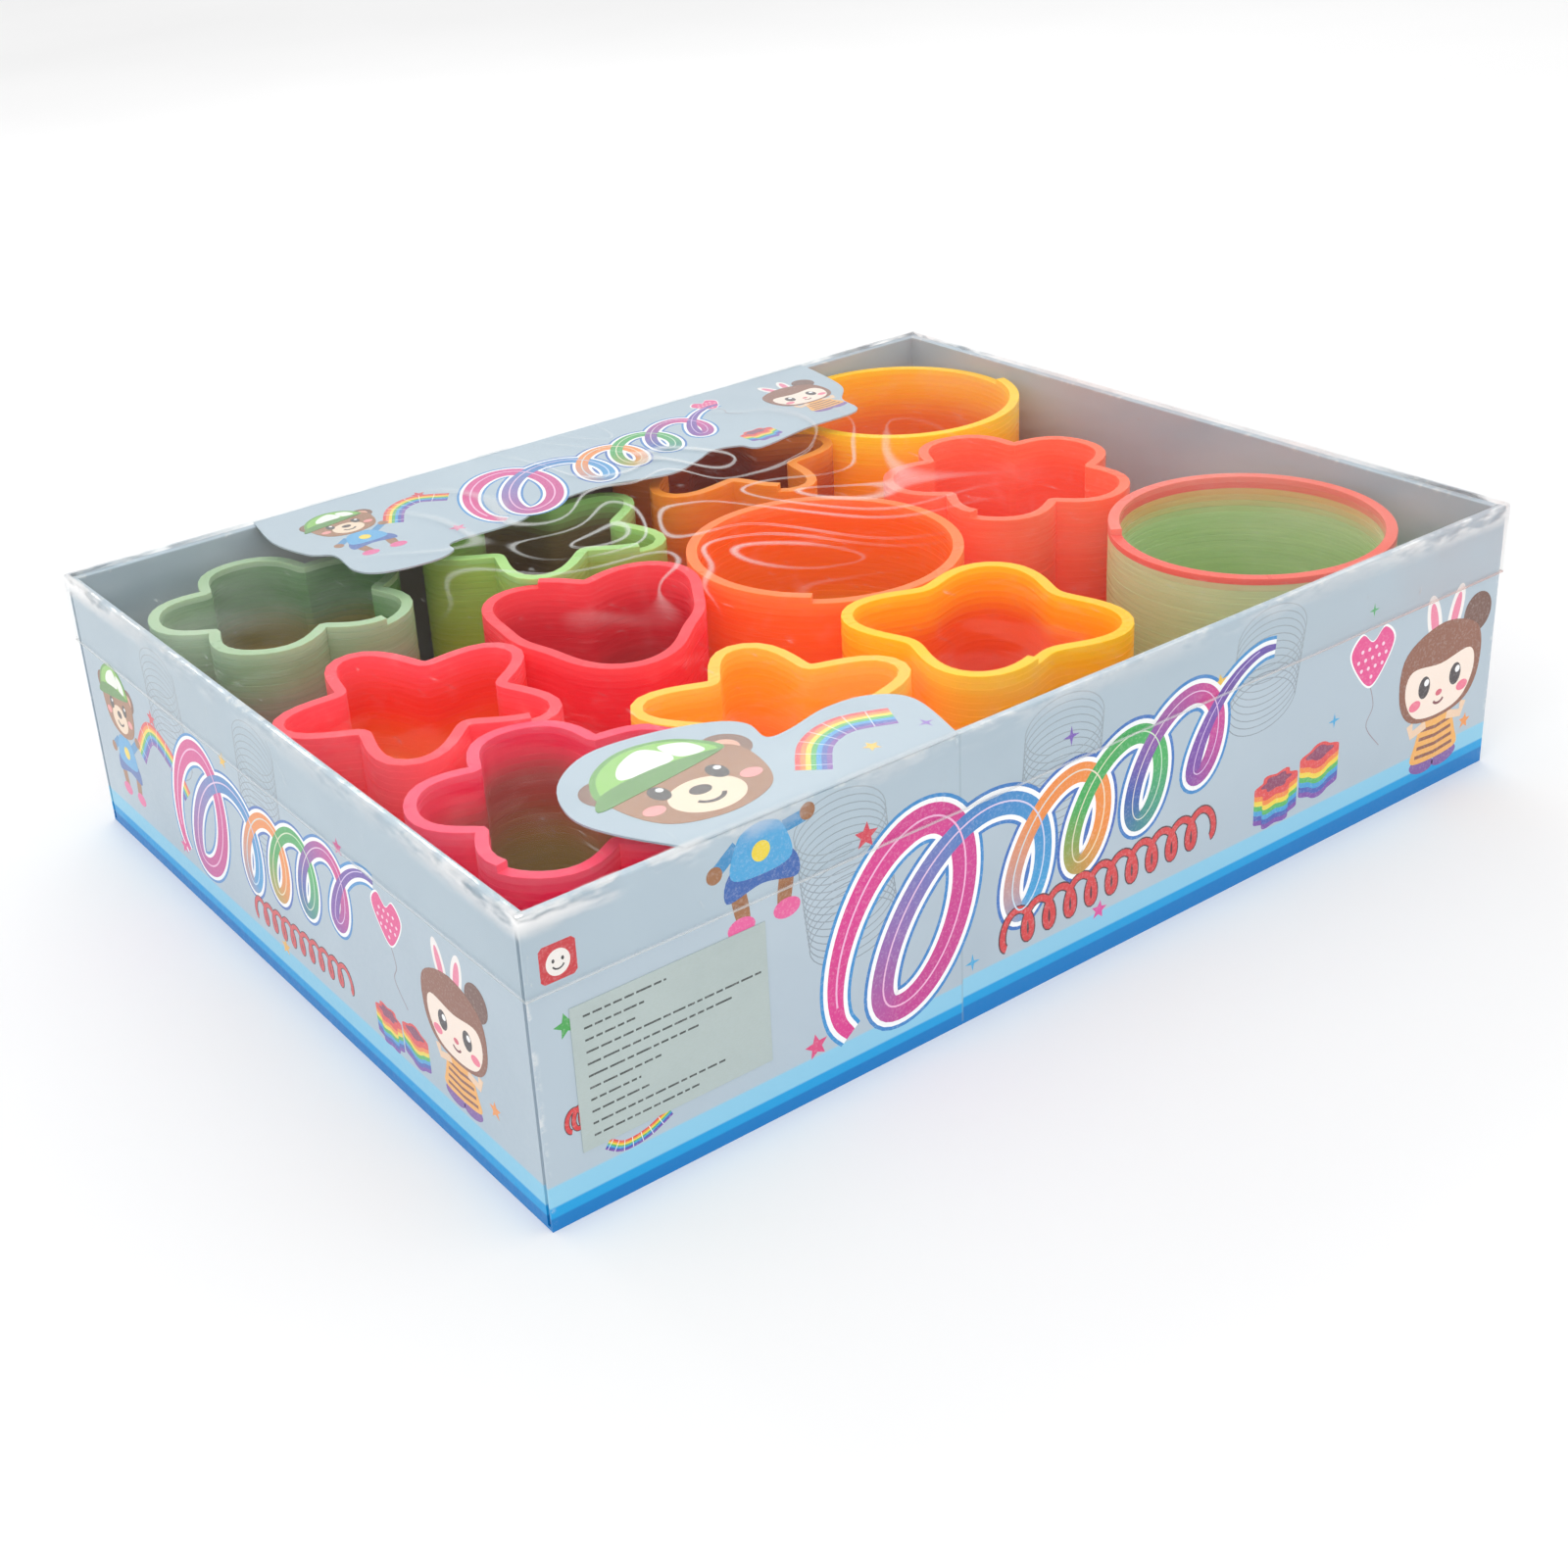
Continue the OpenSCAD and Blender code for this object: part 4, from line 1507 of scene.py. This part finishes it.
@dataclass
class Label:
    """The paper label, with rows of plain bars where its small print would be."""

    rows: tuple[float, ...] = (0.46, 0.33, 0.28, 1.0, 0.82, 0.62, 0.4, 0.28, 0.32, 0.76, 0.62)
    margin: float = 3.0
    bar: float = 0.5
    gap: float = 0.6
    word: Point = (1.2, 5.5)

    def build(self) -> None:
        """Print the bars on the label."""
        low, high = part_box("label")
        art = Artwork(Panel(Vector((low[0], low[1], low[2])), Vector((1, 0, 0)), Vector((0, 0, 1))))
        width, height = (high[0] - low[0]) / MM, (high[2] - low[2]) / MM
        pitch = (height - 2 * self.margin) / (len(self.rows) - 1)
        for row, share in enumerate(self.rows):
            y = height - self.margin - row * pitch
            x = self.margin
            full = x + share * (width - 1.6 * self.margin)
            step = 0
            while x < full - 0.5:
                step += 1
                long = self.word[0] + self.word[1] * abs(noise.noise(Vector((row * 3.1, step * 1.9, 2.0))))
                art.settle(1)
                art.stroke([(x, y), (min(x + long, full), y)], self.bar, ("#3e4644",), 0.0)
                x += long + self.gap
        art.build("label_print", "root", "label_paper")
        LabelPaper().dress("label")


@dataclass
class FilmLid:
    """The clear slip-over lid, as one rippled sheet with its skirt folded down."""

    across: int = 150
    along: int = 116
    fold: float = 1.1 * MM
    ripple: float = 0.55 * MM
    thickness: float = 0.3 * MM
    sway: float = 0.12 * MM
    fold_steps: int = 4
    skirt_steps: int = 7
    nodes: tuple[str, ...] = ("lid_film", "lid_front_skirt", "lid_back_skirt", "lid_left_skirt",
                              "lid_right_skirt")

    def height(self, x: float, y: float) -> float:
        """Give how far the pulled film stands up at a place.

        Args:
            x: The place along the lid.
            y: The place across it.

        Returns:
            The height above the flat film.
        """
        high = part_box("lid_film")[1]
        calm = min(1.0, 9 * (1 - abs(x) / high[0]), 9 * (1 - abs(y) / high[1]))
        broad = noise.noise(Vector((x * 24, y * 19, 3.0)))
        tight = noise.noise(Vector((x * 60 + 2 * broad, y * 34, 8.0)))
        return max(0.0, self.ripple * (0.5 + 0.8 * broad + 0.35 * tight)) * max(calm, 0.0)

    def sheet(self) -> bpy.types.Mesh:
        """Make the outer face of the film.

        Returns:
            The mesh, open at the skirt's foot.
        """
        high = Vector(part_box("lid_film")[1])
        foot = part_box("lid_front_skirt")[0][2]
        flat = (high.x - self.fold, high.y - self.fold)
        spots, faces, index = [], [], {}

        def add(key: tuple, spot: Place) -> None:
            """Add a point and note its number."""
            index[key] = len(spots)
            spots.append(spot)

        nx, ny = self.across, self.along
        for i in range(nx + 1):
            for j in range(ny + 1):
                x, y = (2 * i / nx - 1) * flat[0], (2 * j / ny - 1) * flat[1]
                add((i, j, 0), (x, y, high.z + self.height(x, y)))
        for i in range(nx):
            for j in range(ny):
                faces.append((index[i, j, 0], index[i + 1, j, 0], index[i + 1, j + 1, 0], index[i, j + 1, 0]))
        border = ([(i, 0) for i in range(nx)] + [(nx, j) for j in range(ny)]
                  + [(i, ny) for i in range(nx, 0, -1)] + [(0, j) for j in range(ny, 0, -1)])
        drops = [(math.sin(a) * self.fold, (1 - math.cos(a)) * self.fold)
                 for a in (math.pi / 2 * k / self.fold_steps for k in range(1, self.fold_steps + 1))]
        depth = high.z - foot - self.fold
        drops += [(self.fold, self.fold + depth * k / self.skirt_steps)
                  for k in range(1, self.skirt_steps + 1)]
        for level, (out, down) in enumerate(drops, 1):
            for i, j in border:
                x, y, _ = spots[index[i, j, 0]]
                sx, sy = (i == nx) - (i == 0), (j == ny) - (j == 0)
                wave = 0.0
                if level > self.fold_steps:
                    wave = self.sway * noise.noise(Vector((x * 45, y * 45, down * 60)))
                add((i, j, level), (x + sx * (out + wave), y + sy * (out + wave), high.z - down))
        for level in range(len(drops)):
            for a, b in zip(border, border[1:] + border[:1]):
                faces.append((index[*b, level], index[*a, level], index[*a, level + 1], index[*b, level + 1]))
        mesh = bpy.data.meshes.new("lid_shell")
        mesh.from_pydata(spots, [], faces)
        return mesh

    def build(self) -> bpy.types.Object:
        """Make the lid and let it stand for the flat panels.

        Returns:
            The piece.
        """
        mesh = self.sheet()
        mesh.materials.append(ClearFilm().material())
        mesh.shade_smooth()
        piece = put("lid_shell", mesh)
        wall = piece.modifiers.new("film", "SOLIDIFY")
        wall.thickness = self.thickness
        wall.offset = -1.0
        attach(piece, "lid")
        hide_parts(*self.nodes)
        LOG.info("lid shell: %d faces", len(mesh.polygons))
        return piece


@dataclass
class Studio:
    """A pale floor, soft lights and the camera."""

    floor_size: float = 60.0
    middle: Place = (0, 0, 0.04)
    daylight: float = 0.95
    eye: Place = (-0.31964, -0.42538, 0.28864)
    aim: Place = (64.855, 3.858, -35.463)
    lens: float = 49.11
    shift: Point = (0.0742, -0.0726)

    def lamp(self, name: str, place: Place, size: Point, power: float) -> None:
        """Hang a soft rectangular light that faces the box.

        Args:
            name: Its name.
            place: Where it hangs.
            size: Its width and height.
            power: Its power in watts.
        """
        data = bpy.data.lights.new(name, "AREA")
        data.shape, data.size, data.size_y = "RECTANGLE", size[0], size[1]
        data.energy = power
        lamp = put(name, data)
        lamp.location = place
        lamp.rotation_euler = (Vector(self.middle) - Vector(place)).to_track_quat("-Z", "Y").to_euler()

    def build(self) -> None:
        """Lay the floor, hang the lights and set up the camera."""
        half = self.floor_size / 2
        mesh = bpy.data.meshes.new("floor")
        corners = [(-half, -half, 0), (half, -half, 0), (half, half, 0), (-half, half, 0)]
        mesh.from_pydata(corners, [], [(0, 1, 2, 3)])
        mesh.materials.append(StudioFloor().material())
        put("floor", mesh)
        world = bpy.data.worlds.new("studio")
        world.use_nodes = True
        sky = world.node_tree.nodes["Background"].inputs
        sky[0].default_value, sky[1].default_value = paint("#ffffff"), self.daylight
        bpy.context.scene.world = world
        self.lamp("key", (-0.7, -0.5, 1.1), (0.9, 0.7), 3.0)
        self.lamp("fill", (0.9, -0.8, 0.7), (0.8, 0.6), 0.5)
        self.lamp("strip", (0.3, 1.0, 0.8), (1.4, 0.25), 2.5)
        data = bpy.data.cameras.new("camera")
        data.lens, data.sensor_width, data.sensor_fit = self.lens, 36.0, "HORIZONTAL"
        data.shift_x, data.shift_y = self.shift
        data.clip_start = 0.01
        camera = put("camera", data)
        camera.location = self.eye
        camera.rotation_euler = [math.radians(a) for a in self.aim]
        bpy.context.scene.camera = camera
        bpy.context.scene.view_settings.view_transform = "Standard"


def dress_tray() -> None:
    """Give the tray's card and the flaps their printed finish."""
    low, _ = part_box("tray_floor")
    lap_from = 113 * MM
    PrintedCard("front_card", lap=low[0] + lap_from).dress("front_wall")
    PrintedCard("side_card").dress("back_wall", "left_wall", "right_wall")
    PrintedCard("foot_card").dress("tray_floor")
    PrintedCard("inner_card", bands=False).dress("corner_tabs")
    PrintedCard("flap_card", bands=False).dress("front_flap", "back_flap")


def main() -> None:
    """Build the looks piece by piece."""
    logging.basicConfig(level=logging.INFO, format="%(name)s: %(message)s")
    Studio().build()
    dress_tray()
    PrintedBox().build()
    Label().build()
    tree = HelixTree()
    for coil in COILS:
        coil.build(tree)
    FilmLid().build()


if __name__ == "__main__":
    main()
